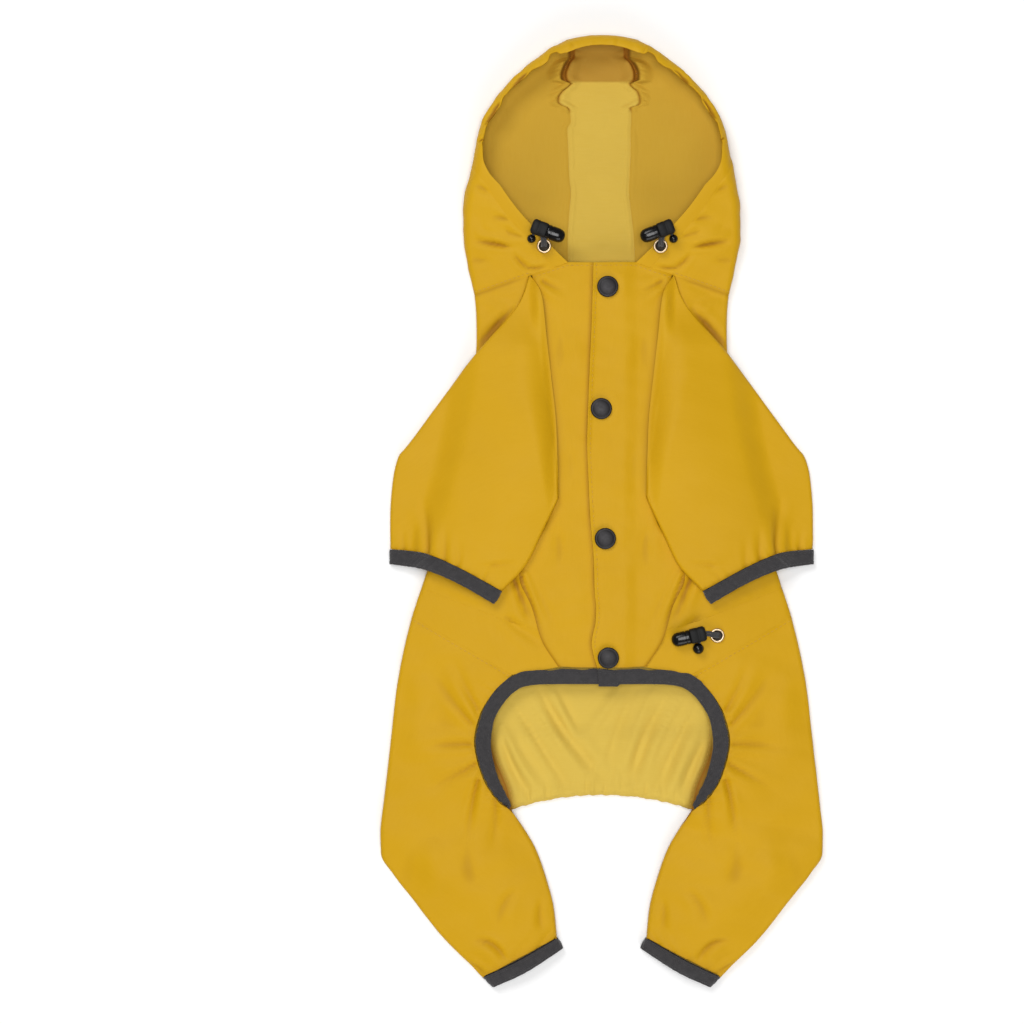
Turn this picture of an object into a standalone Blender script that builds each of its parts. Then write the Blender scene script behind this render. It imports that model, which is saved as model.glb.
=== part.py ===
"""A four-legged dog raincoat, laid flat on its back with its belly side up.

Lengths are in millimetres and turn into metres where a mesh is made. X runs across the coat, +Y
points to the hood and +Z up from the surface that the coat lies on. Tables hold the right half,
and the left half mirrors it. Each sheet of cloth is the grid of points of its middle, which a
Solidify modifier thickens. Sheets meet at seams with a small gap.
"""

import math

import bmesh
import bpy
import numpy as np
from mathutils import Matrix, Vector

MM = 0.001
WALL = 1.0  # cloth thickness
GAP = 0.36  # between two pieces at a seam
FLOOR = WALL / 2  # height of the middle of cloth that lies on the surface
ROLL = 2.6  # radius of the coat's side folds
SETTLE = 60.0  # distance from a side fold at which the belly side is level
BEND_WEIGHT = 9.0  # millimetres of path that one radian of turning counts for, when columns are spread

CASING_WIDTH = 9.0
CASING_WALL = 1.8
CASING_GAP = 0.55
BINDING_WALL = 1.6
CHEST_LIFT = 1.45  # the chest panels lie on the flanks
PLACKET_LAP = 1.45  # the right chest panel lies on the left one
PLACKET_END = 10.0  # how far the left chest panel reaches under the right one
SLEEVE_ROWS = (3.4, 10.8)  # rows of the chest's table between which its side edge is free, under a sleeve
SLEEVE_LIFT = 1.4  # the sleeves lie on the chest panels
SLEEVE_ROLL = 1.9
HEM_ROLL = 0.95  # the seat's hem folds under this tightly
SNAP_PLACES = ((3.3, 135.3), (-0.6, 62.1), (1.8, -15.6), (3.6, -87.0))
SNAP_PROFILE = ((0.0, 2.4), (3.6, 2.15), (5.6, 1.45), (6.4, 0.6), (6.4, 0.0), (0.0, 0.0))
EYELET_RADIUS = 3.4  # to the middle of the ring
EYELET_TUBE = 0.9
EYELET_FLATNESS = 0.6
CORD_WIDTH = 1.8
LOCK_BODY = (9.6, 9.0, 7.6)  # length, width, height
LOCK_BUTTON = (11.0, 3.95)  # length, radius
SEAT_TOP = -56.0  # Y of the waist seam at the middle of the back
SEAT_TOP_SLOPE = -6.7 / 113.9  # how it runs down to the side folds
WAIST_WAVES = 7.5  # gathers of the waist channel from the middle of the back to a side
SEAT_FOLD = -170.0  # Y of the seat's hem fold at the middle of the back
SEAT_FOLD_DROP = -9.0  # and how much lower it is at the legs
SEAT_WAVES = 4.5  # folds from the middle of the seat to a leg
HEM_DEPTH = 3.0  # the hem's turned part at the legs
HEM_DEPTH_MORE = 11.0  # and how much deeper it is in the middle
HEM_RAMP = (-126.0, -138.0)  # Y over which the back rises to lie over the turned hem
HEM_END = (-196.0, -184.0)
HEM_SIDE = (70.0, 60.0)
LEG_GATHER = 0.9  # how high the gathers beside the belly arch stand
LEG_WAVES = 1.15  # gathers for each row of the leg's table
LEG_GAP = 0.8  # between a leg's two parts, where both stand upright
ARCH_START_RIGHT = -2.2  # X at which the right half of the binding starts, on top of the left one
ARCH_START_LEFT = -7.0
ARCH_LAP = 1.8
ARCH_DIP = 1.6  # the binding's inner edge hangs this far lower
SLEEVE_LOFT = 5.5
SLEEVE_FLATTER = 0.45  # share of its loft that a sleeve loses on its way to the cuff
ARMHOLE_DEPTH = 0.34  # share of its length by which a sleeve's lower layer is cut out at the armhole
BROW_FOLD = 286.1  # Y of the hood's fold at the middle of the brow
BROW_EDGE = 279.4  # and of the face opening's edge there
LAST_ROW = 0.01  # within this of the last row, a side panel ends along the centre panel's seam
SEAM_STAND_OFF = 0.1  # and stands this much further from it
RUFFLE_WAVES = 0.9  # ruffles of the drawn-in brow for each row of the hood's table
RUFFLE_OUT = 1.1
RUFFLE_UP = 0.8
CLEAR = 0.35  # hardware's distance from the cloth under it
# Cord locks and their cords: centre, turn of the long axis, the cord's eyelet, its way in, its stop.
LOCKS = {
    "hood_right": {"centre": (32.6, 167.5), "turn": 180 + 20.8, "eyelet": (34.8, 159.3),
                   "way_in": (35.1, 163.1), "stop": (42.4, 163.4), "stop_radius": 2.6},
    "hood_left": {"centre": (-32.6, 167.5), "turn": -20.8, "eyelet": (-34.8, 159.3),
                  "way_in": (-35.1, 163.1), "stop": (-42.4, 163.4), "stop_radius": 2.6},
    "waist": {"centre": (51.9, -74.4), "turn": 180 + 13.4, "eyelet": (69.0, -73.7),
              "way_in": (63.0, -72.4), "stop": (57.4, -81.4), "stop_radius": 3.3},
}
FLAP_SIZE = (66.0, 48.0)
FLAP_TOP = 114.0  # Y of the leash flap's upper edge
FLAP_LIFT = 1.35  # the back panel rises this far to lie over the flap
FLAP_MARGIN = 5.0  # and stays up this far beyond the flap
FLAP_RAMP = 11.0


def table(columns, rows):
    """A table as a dictionary of arrays, one for each named column."""
    return dict(zip(columns.split(), np.array(rows, float).T))


# Half width of the lying coat and how far its belly side rises above the rolled edge.
BODY = table("y half_width rise", (
    (-125.0, 125.0, 5.6),
    (-82.5, 119.0, 6.0),
    (-52.5, 110.7, 6.0),
    (-28.5, 102.5, 6.5),
    (10.0, 90.5, 7.0),
    (60.0, 79.0, 6.5),
    (97.0, 75.0, 5.4),
    (131.0, 76.2, 4.5),
    (152.0, 80.2, 4.5),
))

# Rows of the body cloth, waist seam to neck seam: middle of the back, side fold, belly-side edge.
BACK = table("back_y fold_x fold_y via_x via_y edge_x edge_y", (
    (-56.0, 113.9, -62.7, 54.8, -95.9, 23.5, -92.4),
    (-42.0, 108.2, -45.5, 58.0, -65.0, 32.5, -72.0),
    (-28.0, 102.5, -28.5, 62.0, -40.0, 39.0, -52.0),
    (-10.0, 96.0, -10.0, 66.0, -19.0, 45.0, -33.0),
    (10.0, 90.5, 10.0, 69.0, 3.0, 55.0, -10.0),
    (35.0, 84.0, 35.0, 71.0, 29.0, 62.0, 20.0),
    (60.0, 79.0, 60.0, 70.0, 58.0, 62.0, 55.0),
    (85.0, 76.0, 85.0, 67.5, 87.0, 59.0, 90.0),
    (105.0, 75.0, 105.0, 63.0, 111.0, 52.0, 118.0),
    (119.0, 75.2, 119.0, 60.0, 126.0, 46.0, 133.5),
    (130.6, 76.1, 130.6, 60.0, 136.2, 43.5, 142.0),
))

# Rows of a chest panel, belly arch to neck: placket side, bend, outer edge.
CHEST = table("y via_x via_y edge_x edge_y", (
    (-92.9, 14.0, -92.8, 26.4, -92.2),
    (-75.0, 20.0, -75.2, 36.6, -75.6),
    (-57.0, 24.0, -57.0, 42.0, -57.0),
    (-38.0, 26.0, -38.0, 49.5, -38.5),
    (-22.0, 24.0, -22.0, 44.0, -22.0),
    (-6.0, 18.0, -6.0, 32.5, -5.0),
    (14.0, 16.0, 14.0, 29.0, 14.0),
    (45.0, 17.0, 45.0, 30.6, 45.0),
    (76.0, 19.0, 76.0, 33.2, 76.0),
    (106.0, 20.0, 106.0, 36.2, 106.0),
    (131.0, 21.0, 130.0, 38.5, 128.5),
    (149.7, 20.4, 149.8, 42.0, 142.4),
))

# Rows of a hind leg, waist seam to cuff. Past the crotch both edges meet in the inseam.
LEG = table("fold_x fold_y edge_x edge_y seam_x seam_y rise closed", (
    (114.0, -63.1, 55.4, -96.5, 66.0, -60.3, 6.0, 0.0),
    (119.3, -85.0, 64.8, -105.6, 66.0, -80.0, 5.8, 0.0),
    (123.4, -108.0, 73.8, -122.7, 66.0, -103.0, 5.5, 0.0),
    (126.3, -134.0, 76.8, -137.7, 65.0, -128.0, 5.2, 0.0),
    (129.0, -158.0, 72.0, -158.3, 62.0, -150.0, 4.8, 0.0),
    (131.6, -180.0, 62.6, -173.0, 58.0, -167.0, 4.2, 0.0),
    (132.9, -193.0, 54.6, -179.3, 54.6, -179.1, 3.5, 0.0),
    (132.6, -205.5, 47.1, -190.5, 47.1, -190.5, 4.0, 1.0),
    (125.0, -218.0, 40.2, -202.5, 40.2, -202.5, 5.0, 1.0),
    (112.0, -234.5, 34.0, -219.5, 34.0, -219.5, 5.0, 1.0),
    (95.0, -256.0, 29.0, -239.0, 29.0, -239.0, 4.0, 1.0),
    (71.2, -279.0, 27.2, -255.8, 27.2, -255.8, 2.5, 1.0),
))

# Rows of a hood side panel, neck seam to the middle of the brow: centre seam on the back of the
# head, side fold, edge of the face opening.
HOOD = table("seam_y fold_x fold_y edge_x edge_y roll rise", (
    (131.0, 76.2, 131.0, 20.4, 150.3, 2.6, 4.5),
    (141.0, 80.0, 148.0, 29.5, 158.6, 3.8, 5.6),
    (153.0, 83.0, 165.0, 39.5, 169.0, 5.2, 6.2),
    (166.0, 83.0, 181.0, 50.5, 181.0, 6.6, 6.0),
    (180.0, 80.0, 198.5, 61.0, 195.5, 7.8, 5.0),
    (194.0, 76.6, 213.5, 70.0, 211.0, 8.6, 3.0),
    (208.0, 73.8, 226.5, 69.6, 225.0, 9.0, 1.0),
    (222.0, 69.2, 239.0, 65.3, 236.8, 9.0, 0.0),
    (234.0, 62.2, 249.5, 59.0, 246.6, 9.0, 0.0),
    (244.5, 52.4, 260.5, 49.9, 257.0, 9.0, 0.0),
    (253.5, 40.5, 271.0, 38.7, 267.0, 9.0, 0.0),
    (261.0, 30.4, 278.0, 29.4, 273.6, 9.0, 0.0),
    (267.5, 21.6, 282.9, 21.6, 277.7, 9.0, 0.0),
))

# The centre panel's half width, which gathers make uneven near the brow.
HOOD_SEAM = table("y half_width", (
    (131.0, 20.4),
    (180.0, 20.0),
    (225.0, 20.0),
    (250.0, 21.2),
    (284.0, 21.6),
))

# Binding round the belly arch, placket to crotch.
ARCH = table("outer_x outer_y inner_x inner_y height", (
    (0.0, -93.6, 0.0, -103.5, 13.1),
    (20.0, -93.6, 20.0, -103.5, 13.0),
    (36.0, -94.2, 35.0, -103.6, 12.6),
    (49.0, -95.6, 46.0, -104.9, 12.1),
    (57.3, -99.4, 52.8, -108.6, 11.9),
    (64.1, -106.3, 58.2, -114.3, 11.6),
    (73.1, -122.9, 64.6, -126.3, 11.2),
    (76.1, -137.7, 66.0, -139.5, 10.8),
    (71.4, -157.9, 62.4, -157.6, 10.0),
    (62.2, -172.3, 57.4, -167.5, 9.0),
    (55.6, -178.0, 53.8, -172.0, 8.3),
))

# Seam between the seat and a leg, on the back.
SEAT_SEAM = table("y half_width", (
    (-179.1, 54.6),
    (-167.0, 58.0),
    (-150.0, 62.0),
    (-128.0, 65.0),
    (-103.0, 66.0),
    (-56.0, 66.0),
))

# The four edges of a sleeve as it lies.
SLEEVE_ARMHOLE = ((43.2, 140.6), (36.4, 131.0), (33.3, 105.3), (30.6, 82.0), (27.5, 52.0), (26.4, 9.0))
SLEEVE_OUTER = ((43.2, 140.6), (51.0, 123.0), (78.3, 91.5), (114.0, 43.5), (122.9, 31.0), (126.6, 8.0),
                (127.1, -22.2))
SLEEVE_UNDER = ((26.4, 9.0), (36.2, -11.8), (46.0, -31.5), (60.3, -46.8))
SLEEVE_HEM = ((127.1, -22.2), (106.2, -24.6), (86.5, -32.6), (60.3, -46.8))
SLEEVE_CUFF = ((127.0, -31.6), (105.5, -35.0), (85.5, -43.2), (65.6, -54.8))
LEG_HEM = ((71.2, -279.5), (50.0, -269.2), (27.0, -256.2))
LEG_CUFF = ((64.8, -285.9), (46.0, -276.9), (23.6, -262.9))


def material(name, red, green, blue, roughness, metallic=0.0):
    """A Principled material from a screen colour in 0 to 255."""
    made = bpy.data.materials.new(name)
    made.use_nodes = True
    shader = made.node_tree.nodes["Principled BSDF"]
    linear = [((c / 255 + 0.055) / 1.055) ** 2.4 for c in (red, green, blue)]
    shader.inputs["Base Color"].default_value = (*linear, 1.0)
    shader.inputs["Roughness"].default_value = roughness
    shader.inputs["Metallic"].default_value = metallic
    made.diffuse_color = (*linear, 1.0)
    return made


def smoothly(given, column, at):
    """A column of a table at the given places of its first column, on a curve with no overshoot."""
    x, y = (np.asarray(v, float) for v in (list(given.values())[0], given[column]))
    widths, slopes = np.diff(x), np.diff(y) / np.diff(x)
    tangents = np.concatenate([slopes[:1], np.zeros(len(x) - 2), slopes[-1:]])
    same_way = slopes[1:] * slopes[:-1] > 0
    with np.errstate(divide="ignore", invalid="ignore"):
        harmonic = 2 * slopes[1:] * slopes[:-1] / (slopes[1:] + slopes[:-1])
    tangents[1:-1] = np.where(same_way, harmonic, 0.0)
    at = np.clip(np.asarray(at, float), x[0], x[-1])
    i = np.clip(np.searchsorted(x, at, side="right") - 1, 0, len(x) - 2)
    t = (at - x[i]) / widths[i]
    start, end = y[i], y[i + 1]
    lean_in, lean_out = tangents[i] * widths[i], tangents[i + 1] * widths[i]
    return (start * (1 + 2 * t) * (1 - t) ** 2 + lean_in * t * (1 - t) ** 2
            + end * t * t * (3 - 2 * t) + lean_out * t * t * (t - 1))


def row_of(given, at):
    """Every column of a table at a place counted in rows, as a dictionary."""
    count = len(next(iter(given.values())))
    by_row = {"row": np.arange(count), **given}
    return {name: float(smoothly(by_row, name, at)) for name in given}


def spline(points, steps=24):
    """Closely spaced points of a Catmull-Rom curve through the given ones."""
    points = np.array(points, float)
    padded = np.vstack([2 * points[0] - points[1], points, 2 * points[-1] - points[-2]])
    t = np.linspace(0, 1, steps, endpoint=False)[:, None]
    pieces = []
    for a, b, c, d in zip(padded, padded[1:], padded[2:], padded[3:]):
        pieces.append(0.5 * (2 * b + (c - a) * t + (2 * a - 5 * b + 4 * c - d) * t ** 2
                             + (3 * b - 3 * c + d - a) * t ** 3))
    return np.vstack([*pieces, points[-1:]])


def lengths_along(path):
    return np.concatenate([[0.0], np.cumsum(np.linalg.norm(np.diff(path, axis=0), axis=1))])


def pick(path, measure, wanted):
    return np.column_stack([np.interp(wanted, measure, column) for column in path.T])


def trimmed(path, start, end):
    """The path without its first and last stretch."""
    along = lengths_along(path)
    wanted = np.linspace(start, along[-1] - end, len(path))
    return pick(path, along, wanted)


def spread(path, count):
    """Points along a path that crowd where it bends."""
    steps = np.diff(path, axis=0)
    lengths = np.linalg.norm(steps, axis=1)
    path = path[np.concatenate([[True], lengths > 1e-7])]
    steps = np.diff(path, axis=0)
    lengths = np.linalg.norm(steps, axis=1)
    ways = steps / lengths[:, None]
    turns = np.arccos(np.clip((ways[1:] * ways[:-1]).sum(axis=1), -1, 1))
    weights = lengths + BEND_WEIGHT * (np.append(turns, 0) + np.append(0, turns)) / 2
    measure = np.concatenate([[0.0], np.cumsum(weights)])
    return pick(path, measure, np.linspace(0, measure[-1], count))


def step(value, start, end):
    """0 before start and 1 after end, with a smooth rise between."""
    t = np.clip((np.asarray(value, float) - start) / (end - start), 0, 1)
    return t * t * (3 - 2 * t)


def front_height(x, y):
    """Height of the middle of the belly-side cloth."""
    inward = smoothly(BODY, "half_width", y) - ROLL - np.abs(x)
    level = np.sin(math.pi / 2 * np.clip(inward / SETTLE, 0, 1))
    return FLOOR + 2 * ROLL + smoothly(BODY, "rise", y) * level


def back_height(x, y):
    """Height of the middle of the back's cloth: flat, but for what lies under it."""
    side, top = FLAP_SIZE[0] / 2 + FLAP_MARGIN, FLAP_TOP + FLAP_MARGIN
    bottom = FLAP_TOP - FLAP_SIZE[1] - FLAP_MARGIN
    over_flap = (step(np.abs(x), side + FLAP_RAMP, side) * step(y, top + FLAP_RAMP, top)
                 * step(y, bottom - FLAP_RAMP, bottom))
    over_hem = step(y, *HEM_RAMP) * step(y, *HEM_END) * step(np.abs(x), *HEM_SIDE)
    return FLOOR + FLAP_LIFT * over_flap + 2 * HEM_ROLL * over_hem


def chest_height(x, y, lap=0.0):
    """Height of the middle of a chest panel, with its lap where it lies on the other one."""
    lift = CHEST_LIFT * step(y, 150, 132)
    return front_height(x, y) + lift + lap * (1 - step(x, PLACKET_END + 2, PLACKET_END + 12))


def sleeve_floor(x, y):
    """Height of the middle of a sleeve's lower layer: on the coat, and beside it on the surface."""
    half_width = smoothly(BODY, "half_width", y)
    on_coat = front_height(np.minimum(np.abs(x), half_width - ROLL), y) + CHEST_LIFT + SLEEVE_LIFT
    drop = step(np.abs(x) - half_width, -4, 17)
    return on_coat * (1 - drop) + FLOOR * drop


def towards(start, end):
    way = end - start
    return way / np.linalg.norm(way)


def plan_line(points, count=60):
    """Evenly spaced plan points along straight stretches."""
    points = np.array(points, float)
    along = lengths_along(points)
    return pick(points, along, np.linspace(0, along[-1], count))


def wrap(seam, fold, front, roll, rise, closed=0.0):
    """The middle of cloth from a seam on the back, over the floor, round a side fold and to the front.

    The front's plan points end at its edge. Where closed is 1 both ends curl to meet in an inseam.
    """
    seam, fold = np.array(seam, float), np.array(fold, float)
    line = plan_line([fold, *front])
    along = lengths_along(line)
    out, back_in = towards(seam, fold), towards(line[-3], line[-1])
    curl = roll * closed
    quarter = np.linspace(0, math.pi / 2, 10)
    parts = []
    if curl > 0:
        xy = seam + out * (curl * (1 - np.cos(quarter)))[:, None]
        parts.append(np.column_stack([xy, FLOOR + curl * (1 - np.sin(quarter))]))
    xy = plan_line([seam + out * curl, fold - out * roll])
    parts.append(np.column_stack([xy, back_height(xy[:, 0], xy[:, 1])]))
    angle = np.linspace(-math.pi / 2, 0, 12)
    xy = fold - out * (roll * (1 - np.cos(angle)))[:, None]
    parts.append(np.column_stack([xy, FLOOR + roll * (1 + np.sin(angle))]))
    angle = np.linspace(0, math.acos(1 - min(1.0, along[-1] / roll)), 12)
    xy = pick(line, along, roll * (1 - np.cos(angle)))
    parts.append(np.column_stack([xy, FLOOR + roll * (1 + np.sin(angle))]))
    reach = along[-1] - roll - curl
    if reach > 0:
        inward = np.linspace(0, reach, 60)
        level = (1 - closed) * np.sin(math.pi / 2 * np.clip(inward / SETTLE, 0, 1))
        height = FLOOR + 2 * roll + rise * (level + closed * np.sin(math.pi * inward / reach))
        parts.append(np.column_stack([pick(line, along, roll + inward), height]))
        if curl > 0:
            xy = line[-1] - back_in * (curl * (1 - np.sin(quarter)))[:, None]
            parts.append(np.column_stack([xy, height[-1] - curl * (1 - np.cos(quarter))]))
    return np.vstack(parts)


def mirrored(grid):
    return grid * np.array([-1.0, 1.0, 1.0])


def sheet(name, grid, cloth, wall=WALL, ring=False):
    """An object whose mesh is the grid of points, thickened half to each side."""
    rows, columns = grid.shape[:2]
    faces = []
    for i in range(rows - 1):
        for j in range(columns if ring else columns - 1):
            k = (j + 1) % columns
            faces.append((i * columns + j, i * columns + k, (i + 1) * columns + k, (i + 1) * columns + j))
    mesh = bpy.data.meshes.new(name)
    mesh.from_pydata((grid.reshape(-1, 3) * MM).tolist(), [], faces)
    mesh.shade_smooth()
    thicken = add_object(name, mesh, cloth).modifiers.new("Wall", "SOLIDIFY")
    thicken.thickness = wall * MM
    thicken.offset = 0.0


def add_object(name, mesh, finish):
    made = bpy.data.objects.new(name, mesh)
    mesh.materials.append(finish)
    bpy.context.scene.collection.objects.link(made)
    return made


def both_sides(name, grid, cloth, wall=WALL, ring=False):
    sheet(name + "_right", grid, cloth, wall, ring)
    sheet(name + "_left", mirrored(grid), cloth, wall, ring)


# ---- body ----------------------------------------------------------------------------------------


def back_row(at, count, gathers=0.0):
    """A row round the body from the left belly-side edge over the back to the right one."""
    r = row_of(BACK, at)
    front = [(r["via_x"], r["via_y"]), (r["edge_x"], r["edge_y"])]
    fold = (r["fold_x"], r["fold_y"])
    path = wrap((0, r["back_y"]), fold, front, ROLL, 0.0)
    on_front = (path[:, 2] >= FLOOR + 2 * ROLL - 1e-6)
    path[on_front, 2] = front_height(path[on_front, 0], path[on_front, 1])
    if gathers:
        across = path[:, 0] / (r["fold_x"] - 10)
        on_back = (path[:, 2] < FLOOR + 0.01) & (across < 1)
        waves = 1 - np.cos(2 * math.pi * WAIST_WAVES * across)
        path[on_back, 2] += gathers / 2 * waves[on_back]
    half = spread(trimmed(path, 0, GAP / 2), count)
    return np.vstack([mirrored(half)[:0:-1], half])


def make_body(cloth):
    last = len(BACK["back_y"]) - 1
    places = np.concatenate([[1.015], np.linspace(1.8, 5.2, 5), np.linspace(5.8, last - 0.5, 7),
                             [last - 0.012]])
    sheet("back", np.array([back_row(at, 16) for at in places]), cloth)
    band = [(0.012, 0.3), (0.5, 1.1), (0.985, 0.3)]
    sheet("waist_channel", np.array([back_row(at, 37, lift) for at, lift in band]), cloth)


def chest_row(at, start, lap):
    r = row_of(CHEST, at)
    line = plan_line([(start, r["y"]), (r["via_x"], r["via_y"]), (r["edge_x"], r["edge_y"])])
    inner = step(line[:, 0], 30, 24)
    path = np.column_stack([line, chest_height(line[:, 0], line[:, 1], lap * inner)])
    under_sleeve = SLEEVE_ROWS[0] < at < SLEEVE_ROWS[1]
    return trimmed(path, 0, 0 if under_sleeve else GAP / 2)


def make_chest(cloth):
    last = len(CHEST["y"]) - 1
    places = np.concatenate([[0.012], np.linspace(0.6, last - 0.4, 12), [last - 0.012]])
    free_edge = table("y x", ((-93, -4.4), (-60, -5.5), (20, -9.0), (60, -8.6), (150, -5.4)))
    right, left = [], []
    for at in places:
        start = float(smoothly(free_edge, "x", row_of(CHEST, at)["y"]))
        right.append(spread(chest_row(at, start, PLACKET_LAP), 8))
        left.append(spread(chest_row(at, -PLACKET_END, 0.0), 7))
    sheet("chest_right", np.array(right), cloth)
    sheet("chest_left", mirrored(np.array(left)), cloth)


# ---- legs and seat -------------------------------------------------------------------------------


def leg_row(at):
    """A row of a hind leg in two parts: from its seam on the back to the side fold, and on from there."""
    r = row_of(LEG, at)
    path = wrap((r["seam_x"], r["seam_y"]), (r["fold_x"], r["fold_y"]),
                [(r["edge_x"], r["edge_y"])], ROLL, r["rise"], r["closed"])
    along = lengths_along(path)
    near_edge = step(along[-1] - along, 42, 0) * (path[:, 2] > FLOOR + ROLL)
    gathers = near_edge * step(at, 0.4, 1.2) * step(at, 5.6, 4.8)
    path[:, 2] += LEG_GATHER * gathers * np.sin(2 * math.pi * LEG_WAVES * at)
    side = np.linalg.norm(path - (r["fold_x"], r["fold_y"], FLOOR + ROLL), axis=1).argmin()
    return (spread(trimmed(path[:side + 1], LEG_GAP / 2, LEG_GAP / 2), 7),
            spread(trimmed(path[side:], LEG_GAP / 2, LEG_GAP / 2), 11))


def make_legs(cloth):
    last = len(LEG["rise"]) - 1
    places = np.concatenate([[0.015], np.linspace(0.3, 5.7, 15), [6.0, 6.5, 7.0, 7.5, 8.2, 9.0, 9.9],
                             [last - 0.01]])
    back, front = zip(*[leg_row(at) for at in places])
    both_sides("leg_back", np.array(back), cloth)
    both_sides("leg_front", np.array(front), cloth)


def hem_depth(share):
    """How much of the seat's hem lies folded under, for a share of the half width."""
    return HEM_DEPTH + HEM_DEPTH_MORE * np.cos(math.pi / 2 * share) ** 0.8


def seat_column(share):
    """A column of the seat from the waist seam down to its fold and back under."""
    fold_y = SEAT_FOLD + SEAT_FOLD_DROP * share ** 2
    top = SEAT_TOP + SEAT_TOP_SLOPE * abs(share) * SEAT_SEAM["half_width"][-1] - GAP
    y = np.linspace(top, fold_y + HEM_ROLL, 60)
    half_width = smoothly(SEAT_SEAM, "half_width", y) - GAP / 2
    x = share * half_width
    waves = 0.45 * (1 - np.cos(2 * math.pi * SEAT_WAVES * share))
    folds = waves * step(y, -88, -140) * step(y, fold_y + 11, fold_y + 19)
    parts = [np.column_stack([x, y, back_height(x, y) + folds])]
    angle = np.linspace(math.pi / 2, -math.pi / 2, 12)
    rolled = fold_y + HEM_ROLL * (1 - np.cos(angle))
    parts.append(np.column_stack([np.full(12, x[-1]), rolled, FLOOR + HEM_ROLL * (1 + np.sin(angle))]))
    under = np.linspace(fold_y + HEM_ROLL, fold_y + HEM_ROLL + hem_depth(abs(share)), 12)
    parts.append(np.column_stack([np.full(12, x[-1]), under, np.full(12, FLOOR)]))
    return np.vstack(parts)


def make_seat(cloth, binding):
    shares = np.linspace(-1, 1, 29)
    sheet("seat", np.array([spread(seat_column(share), 9) for share in shares]), cloth)
    strip = []
    for share in shares:
        hem = seat_column(share)[-1]
        width = 1.5 + 7.5 * math.sqrt(max(0.0, math.cos(math.pi / 2 * share)))
        start, height = hem[1] + GAP, BINDING_WALL / 2
        strip.append([(hem[0], start, height), (hem[0], start + width, height)])
    sheet("tail_binding", np.array(strip), binding, 1.45)


def arch_grid(start):
    """The binding round one side of the belly arch, from a place beside the placket to the crotch."""
    last = len(ARCH["height"]) - 1
    grid = []
    for at in np.concatenate([[start / 20.0], np.linspace(0.6, 3, 5), np.linspace(3.5, last, 14)]):
        r = row_of(ARCH, max(at, 0.0))
        shift = min(at, 0.0) * 20.0
        outer, inner = np.array([r["outer_x"], r["outer_y"]]), np.array([r["inner_x"], r["inner_y"]])
        grid.append([(*(outer + (inner - outer) * t + (shift, 0)), r["height"] - ARCH_DIP * t ** 2)
                     for t in (0, 0.5, 1)])
    return np.array(grid)


def make_arch(binding):
    right = arch_grid(ARCH_START_RIGHT)
    right[:, :, 2] += ARCH_LAP * (1 - step(right[:, :, 0], PLACKET_END + 2, PLACKET_END + 14))
    sheet("arch_binding_right", right, binding, BINDING_WALL)
    sheet("arch_binding_left", mirrored(arch_grid(ARCH_START_LEFT)), binding, BINDING_WALL)


# ---- sleeves and cuffs ---------------------------------------------------------------------------


def even(points, share):
    path = spline(points)
    along = lengths_along(path)
    return pick(path, along, np.atleast_1d(share) * along[-1])


def sleeve_place(across, down):
    """Plan point of a sleeve: across from its outer to its under fold, down from armhole to hem."""
    across, down = np.asarray(across, float)[:, None], np.asarray(down, float)[:, None]
    outer, under = even(SLEEVE_OUTER, down[:, 0]), even(SLEEVE_UNDER, down[:, 0])
    top, hem = even(SLEEVE_ARMHOLE, across[:, 0]), even(SLEEVE_HEM, across[:, 0])
    corners = ((1 - across) * (1 - down) * SLEEVE_ARMHOLE[0] + across * (1 - down) * SLEEVE_ARMHOLE[-1]
               + (1 - across) * down * SLEEVE_HEM[0] + across * down * SLEEVE_HEM[-1])
    return (1 - across) * outer + across * under + (1 - down) * top + down * hem - corners


def tube_row(place, down, cutout, base, roll, loft, count):
    """A closed row round a flattened tube: lower layer, under fold, upper layer, outer fold."""
    shares = np.linspace(0, 1, 80)
    upper = place(shares, np.full(80, down))
    along = lengths_along(upper)
    lower_down = cutout * np.sin(math.pi * shares)
    lower = place(shares, lower_down + (1 - lower_down) * down)
    lower_along = lengths_along(lower)
    angle = np.linspace(-math.pi / 2, math.pi / 2, 14)
    reach = roll * (1 - np.cos(angle))

    def ground(xy):
        return base(xy[:, 0], xy[:, 1])

    flat = pick(lower, lower_along, np.linspace(roll, lower_along[-1] - roll, 60))
    parts = [np.column_stack([flat, ground(flat)])]
    under = pick(upper, along, along[-1] - reach)
    parts.append(np.column_stack([under, ground(under) + roll * (1 + np.sin(angle))]))
    inward = np.linspace(along[-1] - roll, roll, 60)
    top = pick(upper, along, inward)
    arc = np.sin(math.pi * (inward - roll) / (along[-1] - 2 * roll))
    settled = 1 - (cutout > 0) * np.sqrt(np.clip(arc, 0, 1)) * (1 - step(down, 0, 0.22))
    parts.append(np.column_stack([top, ground(top) + (2 * roll + loft * arc) * settled]))
    outer = pick(upper, along, reach[::-1])
    parts.append(np.column_stack([outer, ground(outer) + roll * (1 - np.sin(angle))]))
    path = np.vstack(parts)
    return spread(np.vstack([path, path[:1]]), count + 1)[:-1]


def between(start, end):
    """Plan points of a short tube between two edge lines."""
    def place(across, down):
        down = np.asarray(down, float)[:, None]
        return even(start, across) * (1 - down) + even(end, across) * down
    return place


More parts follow.
